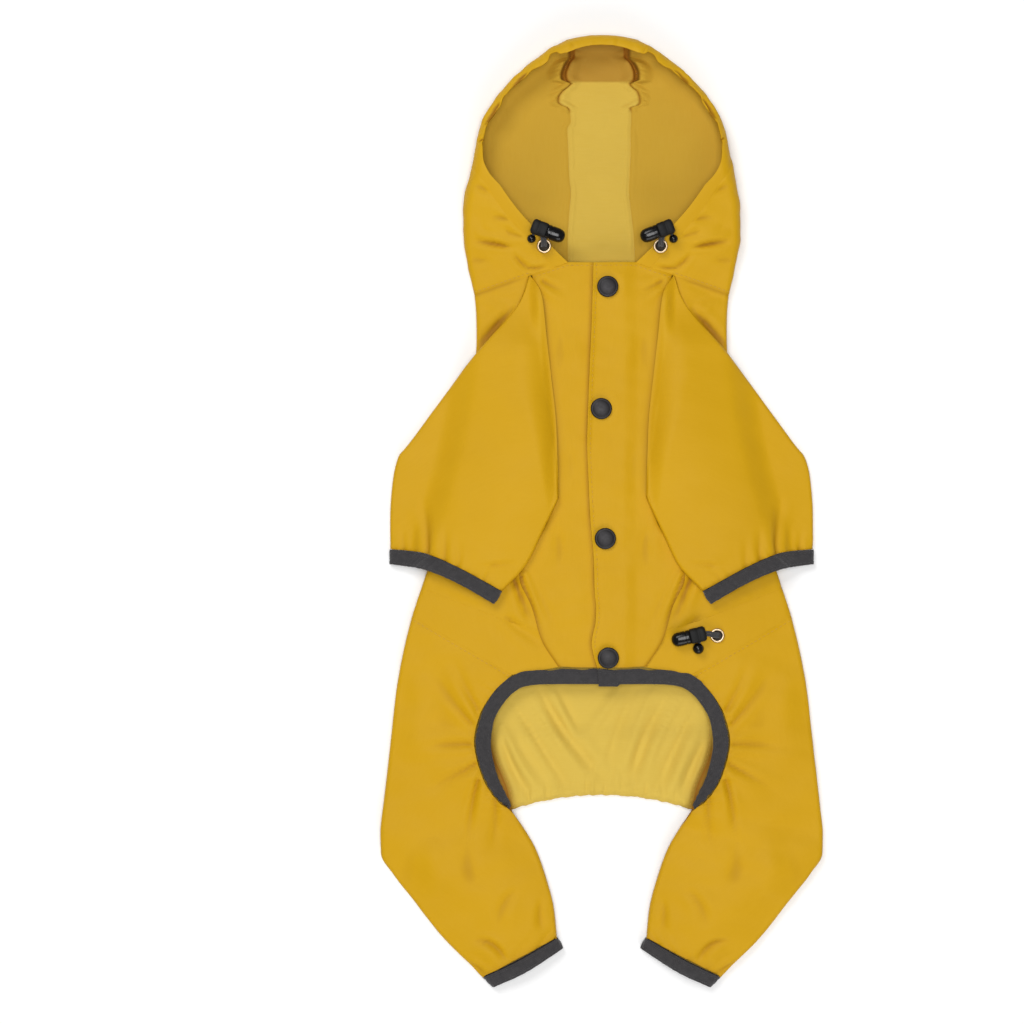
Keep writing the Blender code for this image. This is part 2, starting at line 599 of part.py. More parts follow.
def make_sleeves(cloth, binding):
    places = np.concatenate([np.linspace(0, 0.9, 11), [0.9985]])
    grid = [tube_row(sleeve_place, at, ARMHOLE_DEPTH, sleeve_floor, SLEEVE_ROLL,
                     SLEEVE_LOFT * (1 - SLEEVE_FLATTER * at), 22) for at in places]
    both_sides("sleeve", np.array(grid), cloth, ring=True)

    def cuff_floor(x, y):
        return sleeve_floor(x, y) + (BINDING_WALL - WALL) / 2

    cuff = between(SLEEVE_HEM, SLEEVE_CUFF)
    grid = [tube_row(cuff, at, 0.0, cuff_floor, SLEEVE_ROLL, loft, 22)
            for at, loft in ((0.04, 3.0), (0.5, 3.4), (1.0, 2.4))]
    both_sides("sleeve_cuff", np.array(grid), binding, BINDING_WALL, ring=True)


def make_leg_cuffs(binding):
    def flat(x, y):
        return np.full(len(x), BINDING_WALL / 2)

    cuff = between(LEG_HEM, LEG_CUFF)
    grid = [tube_row(cuff, at, 0.0, flat, ROLL - 0.3, loft, 18)
            for at, loft in ((0.04, 2.4), (0.5, 2.8), (1.0, 2.0))]
    both_sides("leg_cuff", np.array(grid), binding, BINDING_WALL, ring=True)


# ---- hood ----------------------------------------------------------------------------------------


def ruffle(at):
    """Waves of the drawn-in brow, by the place along the hood's rows."""
    return step(at, 5.5, 7.5) * step(at, 12.3, 11.2) * np.sin(2 * math.pi * RUFFLE_WAVES * at)


def hood_path(at):
    """A row of a hood side panel as far as the edge of the face opening."""
    r = row_of(HOOD, at)
    seam_x = float(smoothly(HOOD_SEAM, "half_width", r["seam_y"])) + GAP / 2
    fold, edge = np.array([r["fold_x"], r["fold_y"]]), np.array([r["edge_x"], r["edge_y"]])
    out = towards(np.array([seam_x, r["seam_y"]]), fold)
    fold, edge = fold + out * RUFFLE_OUT / 2 * ruffle(at), edge + out * RUFFLE_OUT * ruffle(at)
    if at > len(HOOD["roll"]) - 1 - LAST_ROW:
        fold[0] = edge[0] = seam_x = seam_x + SEAM_STAND_OFF
    path = wrap((seam_x, r["seam_y"]), fold, [edge], r["roll"], r["rise"])
    high = step(path[:, 2], 4, 16)
    path[:, 2] += RUFFLE_UP * ruffle(at + 0.3) * high
    return path


def brow_path(share):
    """A column of the centre panel from the neck seam over the back of the head to the brow."""
    fold_y, edge_y = BROW_FOLD - 3.0 * share ** 2, BROW_EDGE - 1.6 * share ** 2
    path = wrap((0, HOOD["seam_y"][0] + GAP / 2), (0, fold_y), [(0, edge_y)], HOOD["roll"][-1], 0.0)
    path[:, 0] = share * (smoothly(HOOD_SEAM, "half_width", path[:, 1]) - GAP / 2)
    return path


def panel_part(path, count):
    return spread(trimmed(path, 0, CASING_WIDTH + CASING_GAP), count)


def casing_part(path):
    along = lengths_along(path)
    return pick(path, along, along[-1] - np.array([1, 0.5, 0]) * CASING_WIDTH)


def make_hood(cloth):
    last = len(HOOD["roll"]) - 1
    places = np.concatenate([[0.012], np.linspace(0.7, 5.4, 7), np.linspace(5.9, last - 0.25, 17), [last]])
    rows = [hood_path(at) for at in places]
    both_sides("hood_side", np.array([panel_part(row, 12) for row in rows]), cloth)
    columns = [brow_path(share) for share in np.linspace(1, -1, 7)]
    sheet("hood_centre", np.array([panel_part(column, 16) for column in columns]), cloth)
    right = np.array([casing_part(row) for row in rows[:-1]])
    middle = np.array([casing_part(column) for column in columns])
    sheet("hood_casing", np.vstack([right, middle, mirrored(right)[::-1]]), cloth, CASING_WALL)


def make_flap(cloth):
    x = np.linspace(-FLAP_SIZE[0] / 2, FLAP_SIZE[0] / 2, 5)
    y = np.linspace(FLAP_TOP - FLAP_SIZE[1], FLAP_TOP, 4)
    grid = np.array([[(across, along, FLOOR) for across in x] for along in y])
    sheet("leash_flap", grid, cloth)


# ---- hardware ------------------------------------------------------------------------------------


def hood_top(x, y, reach):
    """Highest point of the casing's upper face within reach of a plan point."""
    rows = np.vstack([casing_part(hood_path(at)) for at in np.linspace(0, 4, 33)])
    near = np.hypot(rows[:, 0] - abs(x), rows[:, 1] - y) < reach
    return rows[near, 2].max() + CASING_WALL / 2


def cloth_top(name, x, y, reach):
    """Height of the cloth's upper face under a piece of hardware."""
    if name.startswith("hood"):
        return hood_top(x, y, reach)
    return float(front_height(x, y)) + WALL / 2


def bmesh_object(name, finish, build, place, turn=0.0):
    """An object whose mesh a bmesh function makes, moved to its place and turned about Z."""
    form = bmesh.new()
    build(form)
    mesh = bpy.data.meshes.new(name)
    form.to_mesh(mesh)
    form.free()
    mesh.shade_smooth()
    made = add_object(name, mesh, finish)
    made.location = Vector(place) * MM
    made.rotation_euler.z = math.radians(turn)
    return made


def make_snap(name, x, y, finish):
    """A domed cap, turned from its profile."""
    def profile(form):
        points = [form.verts.new((radius * MM, 0, height * MM)) for radius, height in SNAP_PROFILE]
        for a, b in zip(points, points[1:]):
            form.edges.new((a, b))
    height = float(chest_height(x, y, PLACKET_LAP)) + WALL / 2 + CLEAR
    turned = bmesh_object(name, finish, profile, (x, y, height)).modifiers.new("Turn", "SCREW")
    turned.steps = turned.render_steps = 16
    turned.use_merge_vertices = True
    turned.merge_threshold = 0.00001


def make_eyelet(name, place, finish):
    """A flattened ring."""
    def ring(form):
        around, across = 14, 5
        rows = []
        for i in range(around):
            a = 2 * math.pi * i / around
            row = []
            for j in range(across):
                b = 2 * math.pi * j / across
                radius = EYELET_RADIUS + EYELET_TUBE * math.cos(b)
                up = EYELET_TUBE * EYELET_FLATNESS * math.sin(b)
                row.append(form.verts.new((radius * math.cos(a) * MM, radius * math.sin(a) * MM, up * MM)))
            rows.append(row)
        for i in range(around):
            for j in range(across):
                k, m = (i + 1) % around, (j + 1) % across
                form.faces.new((rows[i][j], rows[k][j], rows[k][m], rows[i][m]))
    bmesh_object(name, finish, ring, place)


def make_cord(name, points, finish):
    """A round cord along a smooth route."""
    route = spline(points, 3)
    curve = bpy.data.curves.new(name, "CURVE")
    curve.dimensions = "3D"
    line = curve.splines.new("POLY")
    line.points.add(len(route) - 1)
    for point, place in zip(line.points, route * MM):
        point.co = (*place, 1)
    curve.bevel_depth = CORD_WIDTH / 2 * MM
    curve.bevel_resolution = 2
    curve.use_fill_caps = True
    add_object(name, curve, finish)


def make_lock(name, lock, plastic, nickel, cord):
    """A cord lock with its button and stop, the eyelet beside it and the cord from one to the other."""
    (x, y), turn = lock["centre"], lock["turn"]
    along = np.array([math.cos(math.radians(turn)), math.sin(math.radians(turn))])
    length, width, height = LOCK_BODY
    surface = cloth_top(name, x, y, 10.0)
    middle = surface + CLEAR + height / 2

    def box(form):
        bmesh.ops.create_cube(form, size=1.0)
        bmesh.ops.scale(form, vec=(length * MM, width * MM, height * MM), verts=form.verts)

    button_length, button_radius = LOCK_BUTTON
    body_at = np.array([x, y]) - along * button_length / 2
    body = bmesh_object(name + "_lock", plastic, box, (*body_at, middle), turn)
    round_off(body, 2.6, 2)

    def plunger(form):
        bmesh.ops.create_cone(form, cap_ends=True, segments=12, radius1=button_radius * MM,
                              radius2=button_radius * MM, depth=button_length * MM)
        bmesh.ops.rotate(form, verts=form.verts, matrix=Matrix.Rotation(math.pi / 2, 3, "Y"))

    button_at = body_at + along * (length / 2 + GAP + button_length / 2)
    round_off(bmesh_object(name + "_lock_button", plastic, plunger, (*button_at, middle), turn), 1.0, 1)

    stop, stop_radius = lock["stop"], lock["stop_radius"]

    def ball(form):
        bmesh.ops.create_icosphere(form, subdivisions=2, radius=stop_radius * MM)

    stop_height = cloth_top(name, *stop, 3.5) + CLEAR + stop_radius
    bmesh_object(name + "_cord_stop", plastic, ball, (*stop, stop_height))
    eyelet = lock["eyelet"]
    ground = cloth_top(name, *eyelet, 5.0)
    rise = EYELET_TUBE * EYELET_FLATNESS
    make_eyelet(name + "_eyelet", (*eyelet, ground + CLEAR + rise), nickel)
    start, end = np.array(eyelet), np.array(lock["way_in"])
    top = middle - 0.3
    route = [(*start, ground + CLEAR), (*(start * 0.93 + end * 0.07), ground + 0.45 * (top - ground)),
             (*(start * 0.6 + end * 0.4), ground + 0.86 * (top - ground)), (*end, top)]
    make_cord(name + "_drawcord", route, cord)


def round_off(made, radius, segments):
    bevel = made.modifiers.new("Rounded", "BEVEL")
    bevel.width = radius * MM
    bevel.segments = segments


# ---- start ---------------------------------------------------------------------------------------


def clear_scene():
    for old in list(bpy.data.objects):
        bpy.data.objects.remove(old)


def main():
    clear_scene()
    shell = material("RainShell", 214, 165, 36, 0.55)
    binding = material("Binding", 70, 68, 71, 0.8)
    gunmetal = material("Gunmetal", 73, 75, 73, 0.35, 0.9)
    nickel = material("Nickel", 190, 186, 178, 0.25, 1.0)
    plastic = material("BlackPlastic", 22, 22, 24, 0.3)
    braid = material("Drawcord", 58, 57, 60, 0.85)
    make_body(shell)
    make_chest(shell)
    make_legs(shell)
    make_seat(shell, binding)
    make_arch(binding)
    make_sleeves(shell, binding)
    make_leg_cuffs(binding)
    make_hood(shell)
    make_flap(shell)
    for number, (x, y) in enumerate(SNAP_PLACES, 1):
        make_snap(f"snap_{number}", x, y, gunmetal)
    for name, lock in LOCKS.items():
        make_lock(name, lock, plastic, nickel, braid)


main()
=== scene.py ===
"""A four-legged dog raincoat, laid flat on its back with its belly side up and its hood open.

Lengths are in millimetres and turn into metres where a mesh is made. X runs across the coat, +Y
points to the hood and +Z up from the surface that the coat lies on. Tables hold the right half,
and the left half mirrors it. Each cloth piece is the grid of points of its middle, with its folds
and puckers moved along the cloth's own normal, and a Solidify modifier gives it its two faces.
"""

import math

import bmesh
import bpy
import numpy as np
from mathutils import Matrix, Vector


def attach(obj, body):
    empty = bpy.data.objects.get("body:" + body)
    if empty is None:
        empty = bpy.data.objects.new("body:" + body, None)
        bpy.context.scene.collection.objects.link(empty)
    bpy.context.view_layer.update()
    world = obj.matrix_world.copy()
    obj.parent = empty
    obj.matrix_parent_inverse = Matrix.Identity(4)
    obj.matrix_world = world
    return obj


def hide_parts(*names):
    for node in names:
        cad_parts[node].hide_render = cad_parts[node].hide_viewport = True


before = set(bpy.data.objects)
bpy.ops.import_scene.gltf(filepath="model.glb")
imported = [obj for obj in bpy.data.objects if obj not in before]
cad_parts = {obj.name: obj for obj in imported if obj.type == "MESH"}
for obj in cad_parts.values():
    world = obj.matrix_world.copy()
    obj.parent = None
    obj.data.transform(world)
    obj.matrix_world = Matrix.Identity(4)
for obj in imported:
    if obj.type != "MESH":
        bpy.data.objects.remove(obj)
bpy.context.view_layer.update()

MM = 0.001
SIDES = (("right", 1), ("left", -1))  # the left side is the right one with its x turned over
WALL = 1.0
GAP = 0.05  # between two pieces at a seam, which their turned edges close
TUCK = 0.3  # how far one piece reaches under the next one at a flat seam
CLOTH = 0.7  # thickness of the cloth that shows
CUFF_WALL, ARCH_WALL, TAIL_WALL = 1.35, 1.5, 1.2  # thickness of each binding that shows
CASING_HEM_WALL, FLAP_WALL, TAPE_WALL = 0.9, 0.6, 0.14
FLOOR = WALL / 2
ROLL = 2.6  # radius of the side folds
SETTLE = 60.0  # how far from a side fold the upper layer is level
BEND_WEIGHT = 4.0  # millimetres of flat cloth that get as many points as a bend of one radian
WEAVE = 0.00042  # a cell of the weave, in metres

STITCH_SPACING, STITCH_LENGTH = 2.9, 2.0
STITCH_RADIUS, STITCH_FLATNESS = 0.18, 0.75
# Along a stitch: share of its length, share of its girth, and height.
STITCH_STATIONS = ((0.0, 0.4, -0.12), (0.25, 1.0, 0.04), (0.75, 1.0, 0.04), (1.0, 0.4, -0.12))
BINDING_STITCH = {"spacing": 2.6, "length": 1.8}
SEAM_LIFT, ARCH_SEAM_LIFT, CUFF_SEAM_LIFT = CLOTH / 2 + 0.04, 0.78, 0.72  # of stitches over the cloth's middle

CASING_WIDTH = 9.0
CASING_WALL, BINDING_WALL = 1.8, 1.6  # thickness of the folded strips, all their layers
CHEST_LIFT, SLEEVE_LIFT = 1.45, 1.4  # how far each lies over the layer below
PLACKET_LAP = 1.45  # how far the right chest panel lies over the left one
PLACKET_END = 10.0  # how far the left chest panel reaches past the middle
SLEEVE_ROLL, HEM_ROLL = 1.9, 0.95  # radius of the sleeves' side folds and of the tail hem's fold
CLEAR = 0.35  # between the cloth and the hardware on it

SNAP_PLACES = ((3.3, 135.3), (-0.6, 62.1), (1.8, -15.6), (3.6, -87.0))
EYELET_RADIUS, EYELET_TUBE, EYELET_FLATNESS = 3.6, 0.66, 0.6  # to the rolled ring's middle, and of its section
CORD_WIDTH = 1.6
CORD_EASING = 5  # rounds of smoothing of a cord's route
STRAND_APART = 0.85  # each of a cord's two strands lies this far from their middle
LOCK_BODY = (9.6, 9.0, 7.6)  # length, width and height
LOCK_BUTTON = (11.0, 3.95)  # length and radius

SEAT_TOP, SEAT_TOP_SLOPE = -56.0, -6.7 / 113.9  # the waist seam's y in the middle, and its slope outward
WAIST_WAVES = 7.5  # gathers of the waist band from its middle to one side
SEAT_FOLD, SEAT_FOLD_DROP = -170.0, -9.0  # y of the tail hem's fold in the middle, and how much lower it ends
HEM_DEPTH, HEM_DEPTH_MORE = 3.0, 11.0  # cloth folded under at the hem's ends, and more of it in the middle
HEM_RAMP, HEM_END, HEM_SIDE = (-126.0, -138.0), (-196.0, -184.0), (70.0, 60.0)  # where cloth rises over the hem
ARCH_START_RIGHT, ARCH_START_LEFT = -2.2, -7.0  # each half begins this far beyond the middle
ARCH_LAP, ARCH_DIP = 1.8, 1.6  # of the right half over the left one, and of the inner edge
ARCH_BORDERS, CUFF_BORDERS = (0.05, 0.9), (0.03, 0.94)  # where the cloth's middle ends, between its edge lines
SLEEVE_LOFT, SLEEVE_FLATTER = 5.5, 0.45  # how high a sleeve stands up, and the share of it lost at the hem
ARMHOLE_DEPTH = 0.34  # share of a sleeve's length that its lower layer is cut out
BROW_FOLD, BROW_EDGE = 286.1, 279.4  # y of the hood's end and of its rim, in the middle
HELD = 3.5  # how far from a seam its flat cloth keeps folds away
NEAR_BORDER = 0.12  # how far in the row beside a border lies, as a share of the way to the next one
SOFT_SEAM = 0.04  # share of its depth that a flat seam on the belly side has
FLAP_SIZE, FLAP_TOP = (66.0, 48.0), 114.0
FLAP_LIFT, FLAP_MARGIN, FLAP_RAMP = 1.35, 5.0, 11.0  # how the back rises over the flap, past its borders

# Plan points of each lock, the eyelet beside it and what the cord passes. turn is in degrees.
HOOD_LOCK = {"centre": (-32.6, 167.5), "turn": -20.8, "eyelet": (-34.8, 159.3), "way_in": (-35.1, 163.1),
             "stop": (-42.4, 163.4), "inside": (-42.0, 166.6), "stop_radius": 2.6}  # the left one
LOCKS = {
    "hood_right": {name: (-value[0], value[1]) if isinstance(value, tuple) else value
                   for name, value in HOOD_LOCK.items()} | {"turn": 180 - HOOD_LOCK["turn"]},
    "hood_left": HOOD_LOCK,
    "waist": {"centre": (51.9, -74.4), "turn": 180 + 13.4, "eyelet": (69.0, -73.7), "way_in": (63.0, -72.4),
              "stop": (57.4, -81.4), "inside": (78.0, -69.0), "stop_radius": 3.3},
}

# The view and the light, in metres, but for the lens and its sensor.
LENS, SENSOR = 100.0, 36.0
PICTURE_WIDTH = 1024 * 0.6 * MM  # at VIEW_LEVEL, where a pixel is 0.6 mm wide
VIEW_CENTRE, VIEW_LEVEL = (-0.054, 0.0003), 0.010
FLOOR_REACH = 4
SKY = 0.18  # strength of the light from all round
LIGHTS = (  # name, place, size and power of each, all aimed at the origin
    ("key", (-0.9, 1.3, 1.9), 1.0, 20),
    ("fill", (0.4, -2.2, 1.3), 1.6, 22),
    ("top", (0, 0, 2.4), 1.0, 30),
)

# Rows of each piece's grid and points in a row, or half a row on the back and the band.
BACK_ROWS, BACK_POINTS = 116, 88
BAND_ROWS, BAND_POINTS = 19, 190
CHEST_ROWS, CHEST_POINTS = 170, 40
LEG_ROWS, LEG_POINTS = 150, 116
SEAT_COLUMNS, SEAT_POINTS = 150, 110
TAIL_COLUMNS, TAIL_POINTS = 160, 10
ARCH_ROWS, ARCH_POINTS = 150, 15
SLEEVE_ROWS, SLEEVE_POINTS = 104, 168
CUFF_ROWS, SLEEVE_CUFF_POINTS, LEG_CUFF_POINTS = 16, 240, 170
HOOD_NECK_ROWS, HOOD_RIM_ROWS, HOOD_POINTS = 66, 132, 84
BROW_COLUMNS, BROW_POINTS = 81, 190
CORD_POINTS = 84
SNAP_SIDES, LOCK_SIDES, BALL_SIDES, RING_SIDES, WELL_SIDES = 56, 44, 40, 48, 40
INSIDE_END = 0.002  # how far inside a table's ends the first and last rows lie, counted in its rows


def table(columns, rows):
    """A table as a dictionary of arrays, one for each named column."""
    return dict(zip(columns.split(), np.array(rows, float).T))


def rows_of(given):
    """The rows of a table, each as a dictionary."""
    return [dict(zip(given, row)) for row in zip(*given.values())]


def point(row, name):
    """The plan point in a row whose columns are called NAME_x and NAME_y."""
    return np.array([row[name + "_x"], row[name + "_y"]])


BODY = table("y half_width rise", (
    (-125, 125, 5.6),
    (-82.5, 119, 6),
    (-52.5, 110.7, 6),
    (-28.5, 102.5, 6.5),
    (10, 90.5, 7),
    (60, 79, 6.5),
    (97, 75, 5.4),
    (131, 76.2, 4.5),
    (152, 80.2, 4.5),
))

BACK = table("back_y fold_x fold_y via_x via_y edge_x edge_y", (
    (-56, 113.9, -62.7, 53.8, -97.4, 23.5, -92.4),
    (-42, 108.2, -45.5, 58, -65, 32.5, -72),
    (-28, 102.5, -28.5, 62, -40, 39, -52),
    (-10, 96, -10, 66, -19, 45, -33),
    (10, 90.5, 10, 69, 3, 55, -10),
    (35, 84, 35, 71, 29, 62, 20),
    (60, 79, 60, 70, 58, 62, 55),
    (85, 76, 85, 67.5, 87, 59, 90),
    (105, 75, 105, 63, 111, 52, 118),
    (119, 75.2, 119, 60, 126, 46, 133.5),
    (130.92, 76.2, 130.92, 60, 136.5, 43.5, 142.2),
))

CHEST = table("y via_x via_y edge_x edge_y", (
    (-92.9, 14, -92.8, 26.4, -92.2),
    (-75, 20, -75.2, 36.6, -75.6),
    (-57, 24, -57, 42, -57),
    (-38, 26, -38, 49.5, -38.5),
    (-22, 24, -22, 44, -22),
    (-6, 18, -6, 32.5, -5),
    (14, 16, 14, 29, 14),
    (45, 17, 45, 30.6, 45),
    (76, 19, 76, 33.2, 76),
    (106, 20, 106, 36.2, 106),
    (131, 21, 130, 38.5, 128.5),
    (149.9, 20.4, 150.2, 42, 142.75),
))

LEG = table("fold_x fold_y edge_x edge_y seam_x seam_y rise closed", (
    (113.88, -62.5, 53.75, -97.2, 66, -59.7, 6, 0),
    (119.3, -85, 63.9, -106.3, 66, -80, 5.8, 0),
    (123.4, -108, 73.8, -122.7, 66, -103, 5.5, 0),
    (126.3, -134, 76.8, -137.7, 65, -128, 5.2, 0),
    (129, -158, 72, -158.3, 62, -150, 4.8, 0),
    (131.6, -180, 62.6, -173, 58, -167, 4.2, 0),
    (132.9, -193, 54.6, -179.3, 54.6, -179.1, 3.5, 0),
    (132.6, -205.5, 47.1, -190.5, 47.1, -190.5, 4, 1),
    (125, -218, 40.2, -202.5, 40.2, -202.5, 5, 1),
    (112, -234.5, 34, -219.5, 34, -219.5, 5, 1),
    (95, -256, 29, -239, 29, -239, 4, 1),
    (71.2, -279, 27.2, -255.8, 27.2, -255.8, 2.5, 1),
))

HOOD = table("seam_y fold_x fold_y edge_x edge_y roll rise", (
    (130.7, 76.2, 130.7, 20.4, 150, 2.6, 4.5),
    (141, 80, 148, 29.5, 158.6, 3.8, 5.6),
    (153, 83, 165, 39.5, 169, 5.2, 6.2),
    (166, 83, 181, 50.5, 181, 6.6, 6),
    (180, 80, 198.5, 61, 195.5, 7.8, 5),
    (194, 76.6, 213.5, 70, 211, 8.6, 3),
    (208, 73.8, 226.5, 69.6, 225, 9, 1),
    (222, 69.2, 239, 65.3, 236.8, 9, 0),
    (234, 62.2, 249.5, 59, 246.6, 9, 0),
    (244.5, 52.4, 260.5, 49.9, 257, 9, 0),
    (253.5, 40.5, 271, 38.7, 267, 9, 0),
    (261, 30.4, 278, 29.4, 273.6, 9, 0),
    (267.5, 21.6, 282.9, 21.6, 277.7, 9, 0),
))

HOOD_SEAM = table("y half_width", (
    (131, 20.4),
    (180, 20),
    (225, 20),
    (250, 21.2),
    (284, 21.6),
))

# Half widths at which the centre panel's gathered seams lie, on the right and on the left.
SEAM_LINE = table("y right left", (
    (150, 20.2, 20.2),
    (165, 19.6, 20.6),
    (180, 18, 19.6),
    (193, 16.6, 18.6),
    (203, 17, 19.5),
    (219, 17.6, 20.1),
    (231.5, 17.5, 20.6),
    (235.5, 17.9, 18.6),
    (241, 17.9, 19),
    (244.3, 17.3, 20.4),
    (245.5, 21.6, 23.8),
    (247.6, 23.1, 26),
    (250, 22.9, 25.9),
    (253.8, 21.7, 23.8),
    (257.2, 17.8, 19.6),
    (258.6, 17.2, 18.4),
    (260.6, 20.9, 22.6),
    (264, 21.1, 23.1),
    (267.5, 20.3, 22.1),
    (271, 18.3, 20.6),
    (274.2, 15.6, 18.4),
    (284, 15.6, 18.4),
))

# The drawn-in rim of the hood by rows: its visible width, and how far it stands up.
RIM = table("at width up", (
    (4, 19.2, 0),
    (4.5, 10.6, 0),
    (5, 5.8, 0),
    (5.4, 4.2, 0.2),
    (5.8, 2.9, 0),
    (6.1, 3.3, 0.2),
    (6.6, 2.7, 0),
    (7.2, 3.9, 0.2),
    (7.7, 4.5, 0.3),
    (8.2, 3.1, 0),
    (8.8, 3.3, 0.1),
    (9.3, 4.1, 0.2),
    (9.7, 4.4, 0),
    (10.1, 5.8, 0.2),
    (10.5, 6.2, 0.2),
    (10.9, 3.4, 0),
    (11.2, 3.9, 0),
    (11.5, 6.6, 0.2),
    (12, 8.2, 0),
))

# The free edge of the right chest panel, on top of the left one.
FREE_EDGE = table("y x", (
    (-93, -3), (-85, -5.3), (-78, -6.4), (-72.8, -5.6), (-66, -4.1), (-57, -3.7), (-47.6, -4.6), (-28.7, -5.1),
    (-3.4, -7.2), (21.9, -8.4), (41, -9.1), (60, -8.6), (85, -7.6), (110, -6.5), (150, -5.2)))

ARCH = table("outer_x outer_y inner_x inner_y height", (
    (0, -93.6, 0, -103.5, 13.1),
    (20, -93.6, 20, -103.5, 13),
    (36, -94.2, 35, -103.6, 12.6),
    (49, -95.6, 46, -104.9, 12.1),
    (57.3, -99.4, 52.8, -108.6, 11.9),
    (64.1, -106.3, 58.2, -114.3, 11.6),
    (73.1, -122.9, 64.6, -126.3, 11.2),
    (76.1, -137.7, 66, -139.5, 10.8),
    (71.4, -157.9, 62.4, -157.6, 10),
    (62.2, -172.3, 58.4, -167.5, 9),
    (55.6, -178, 55, -175.6, 8.3),
))

SEAT_SEAM = table("y half_width", (
    (-179.1, 54.6),
    (-167, 57),
    (-158, 60.4),
    (-150, 64),
    (-140, 66.6),
    (-128, 66.8),
    (-103, 66.4),
    (-56, 66),
))

SLEEVE_ARMHOLE = ((43, 142.2), (36.4, 131), (33.3, 105.3), (30.6, 82), (27.5, 52), (26.4, 9))
SLEEVE_OUTER = ((43, 142.2), (51, 123), (78.3, 91.5), (114, 43.5), (122.9, 31), (126.6, 8),
                (127.1, -22.2))
SLEEVE_UNDER = ((26.4, 9), (36.2, -11.8), (46, -31.5), (60.3, -46.8))
SLEEVE_HEM = ((127.1, -22.2), (106.2, -24.6), (86.5, -32.6), (60.3, -46.8))
SLEEVE_CUFF = ((127, -31.6), (105.5, -35), (85.5, -43.2), (65.6, -54.8))
LEG_HEM = ((71.2, -279.5), (50, -269.2), (27, -256.2))
LEG_CUFF = ((64.8, -285.9), (46, -276.9), (23.6, -262.9))

# Folds, each along a bend through three points. A plus height is a ridge and a minus one a trough.
# ends is 0 where a fold fades at both ends and 1 where it starts in full at a seam.
FOLDS = "x0 y0 x1 y1 x2 y2 height width ends"
LEG_FOLDS = table(FOLDS, (
    (78.5, -126, 92, -112, 100, -98, -0.9, 2.1, 1),
    (77.5, -121, 88, -104, 93, -92, 0.8, 2.8, 1),
    (75, -117.5, 84, -103, 90, -86, -0.9, 2.1, 1),
    (79.5, -139, 97, -139.5, 120, -142, -0.8, 2, 1),
    (79.5, -134.5, 97, -133, 112, -132, 0.6, 2.9, 1),
    (79.5, -142.8, 96, -144, 112, -142, 0.6, 2.6, 1),
    (76.5, -151, 90, -158.5, 107, -168, -1.2, 1.9, 1),
    (76, -156.5, 86, -164, 98, -174, 0.9, 2.6, 1),
    (74.5, -161, 79, -176, 80.5, -200, -1.7, 1.7, 1),
    (70.5, -165, 73.5, -180, 73, -200, 0.9, 2.9, 1),
    (64, -172, 63, -190, 66, -206, -1.1, 2.2, 1),
    (80.5, -196, 81.5, -212, 77, -226, -0.7, 3.6, 0),
    (50, -226.5, 61, -232, 62.5, -250, -0.9, 2.6, 0),
    (36, -232, 39, -242, 35.5, -252, -0.9, 2, 0),
    (76.5, -258, 65, -254.5, 56.5, -271.5, -1.4, 1.7, 0),
    (77, -263.5, 69, -262, 61.5, -272, 0.8, 2.8, 0),
    (98, -196, 104, -214, 98, -230, 1.1, 6.8, 0),
    (112, -96, 108, -118, 112, -150, 1, 6.8, 0),
    (81.5, -270, 75, -272.5, 69, -279, -1.2, 1.4, 0),
))
SEAT_FOLDS = table(FOLDS, (
    (-55.8, -112, -30.2, -150.3, -17.4, -171, -1.6, 2.4, 0),
    (-47.4, -104, -25.8, -142, -7.2, -162, 1.5, 3.2, 0),
    (-39, -102, -27.5, -131, 1.8, -162, -1.5, 2.4, 0),
    (-33, -102, -20, -128, -3, -150, 1.2, 2.8, 0),
    (-26, -106, -15.2, -131, -6, -152, -1.1, 2.4, 0),
    (-61, -126, -49.2, -154.5, -33, -172, 1.6, 3, 0),
    (-60, -134, -54, -156, -42, -173, -1.4, 2.2, 0),
    (14, -102, 1, -122, -12, -138, 1.3, 3.2, 0),
    (23.1, -104, 6, -131, 3.9, -156, -1.4, 2.4, 0),
    (33.8, -104, 16.7, -131, 13.6, -156, 1.5, 2.8, 0),
    (41.5, -106, 23.1, -137.5, 16.7, -165, -1.6, 2.4, 0),
    (49.6, -108, 28.4, -144, 25.2, -166, 1.5, 2.8, 0),
    (58, -116, 40.1, -146, 34.9, -169, -1.6, 2.4, 0),
    (61.5, -125, 47.6, -148.2, 41.2, -170, 1.5, 2.8, 0),
    (63.5, -134, 54, -154, 47, -172, -1.4, 2.2, 0),
    (-2, -150, -6, -160, -5, -171, 0.7, 2, 0),
    (9, -152, 10, -162, 8, -172, 0.7, 1.8, 0),
))
HOOD_FOLDS = table(FOLDS, (
    (45, 172.5, 55, 175.5, 67, 178, -1, 1.3, 1),
    (48, 177.5, 58, 180.5, 69, 182.5, 0.6, 2.4, 1),
    (53, 158.6, 63, 160.5, 77, 163.4, -1.1, 1.4, 0),
    (55, 162.8, 64, 164.8, 77, 167, 0.7, 2.4, 0),
    (62, 189.5, 70, 193.5, 78, 196.5, -0.6, 1.9, 0),
    (54, 155.5, 49, 149, 42.5, 145.6, -0.8, 1.5, 0),
    (45, 147, 39, 145.6, 31, 147.2, -1, 1.2, 0),
    (71, 173, 65, 169, 57, 168, 0.6, 2.6, 0),
    (45, 164.5, 51, 165.5, 59, 168.5, -0.6, 1.6, 0),
    (66, 152, 74, 150.5, 80, 152, -0.5, 2.4, 0),
))
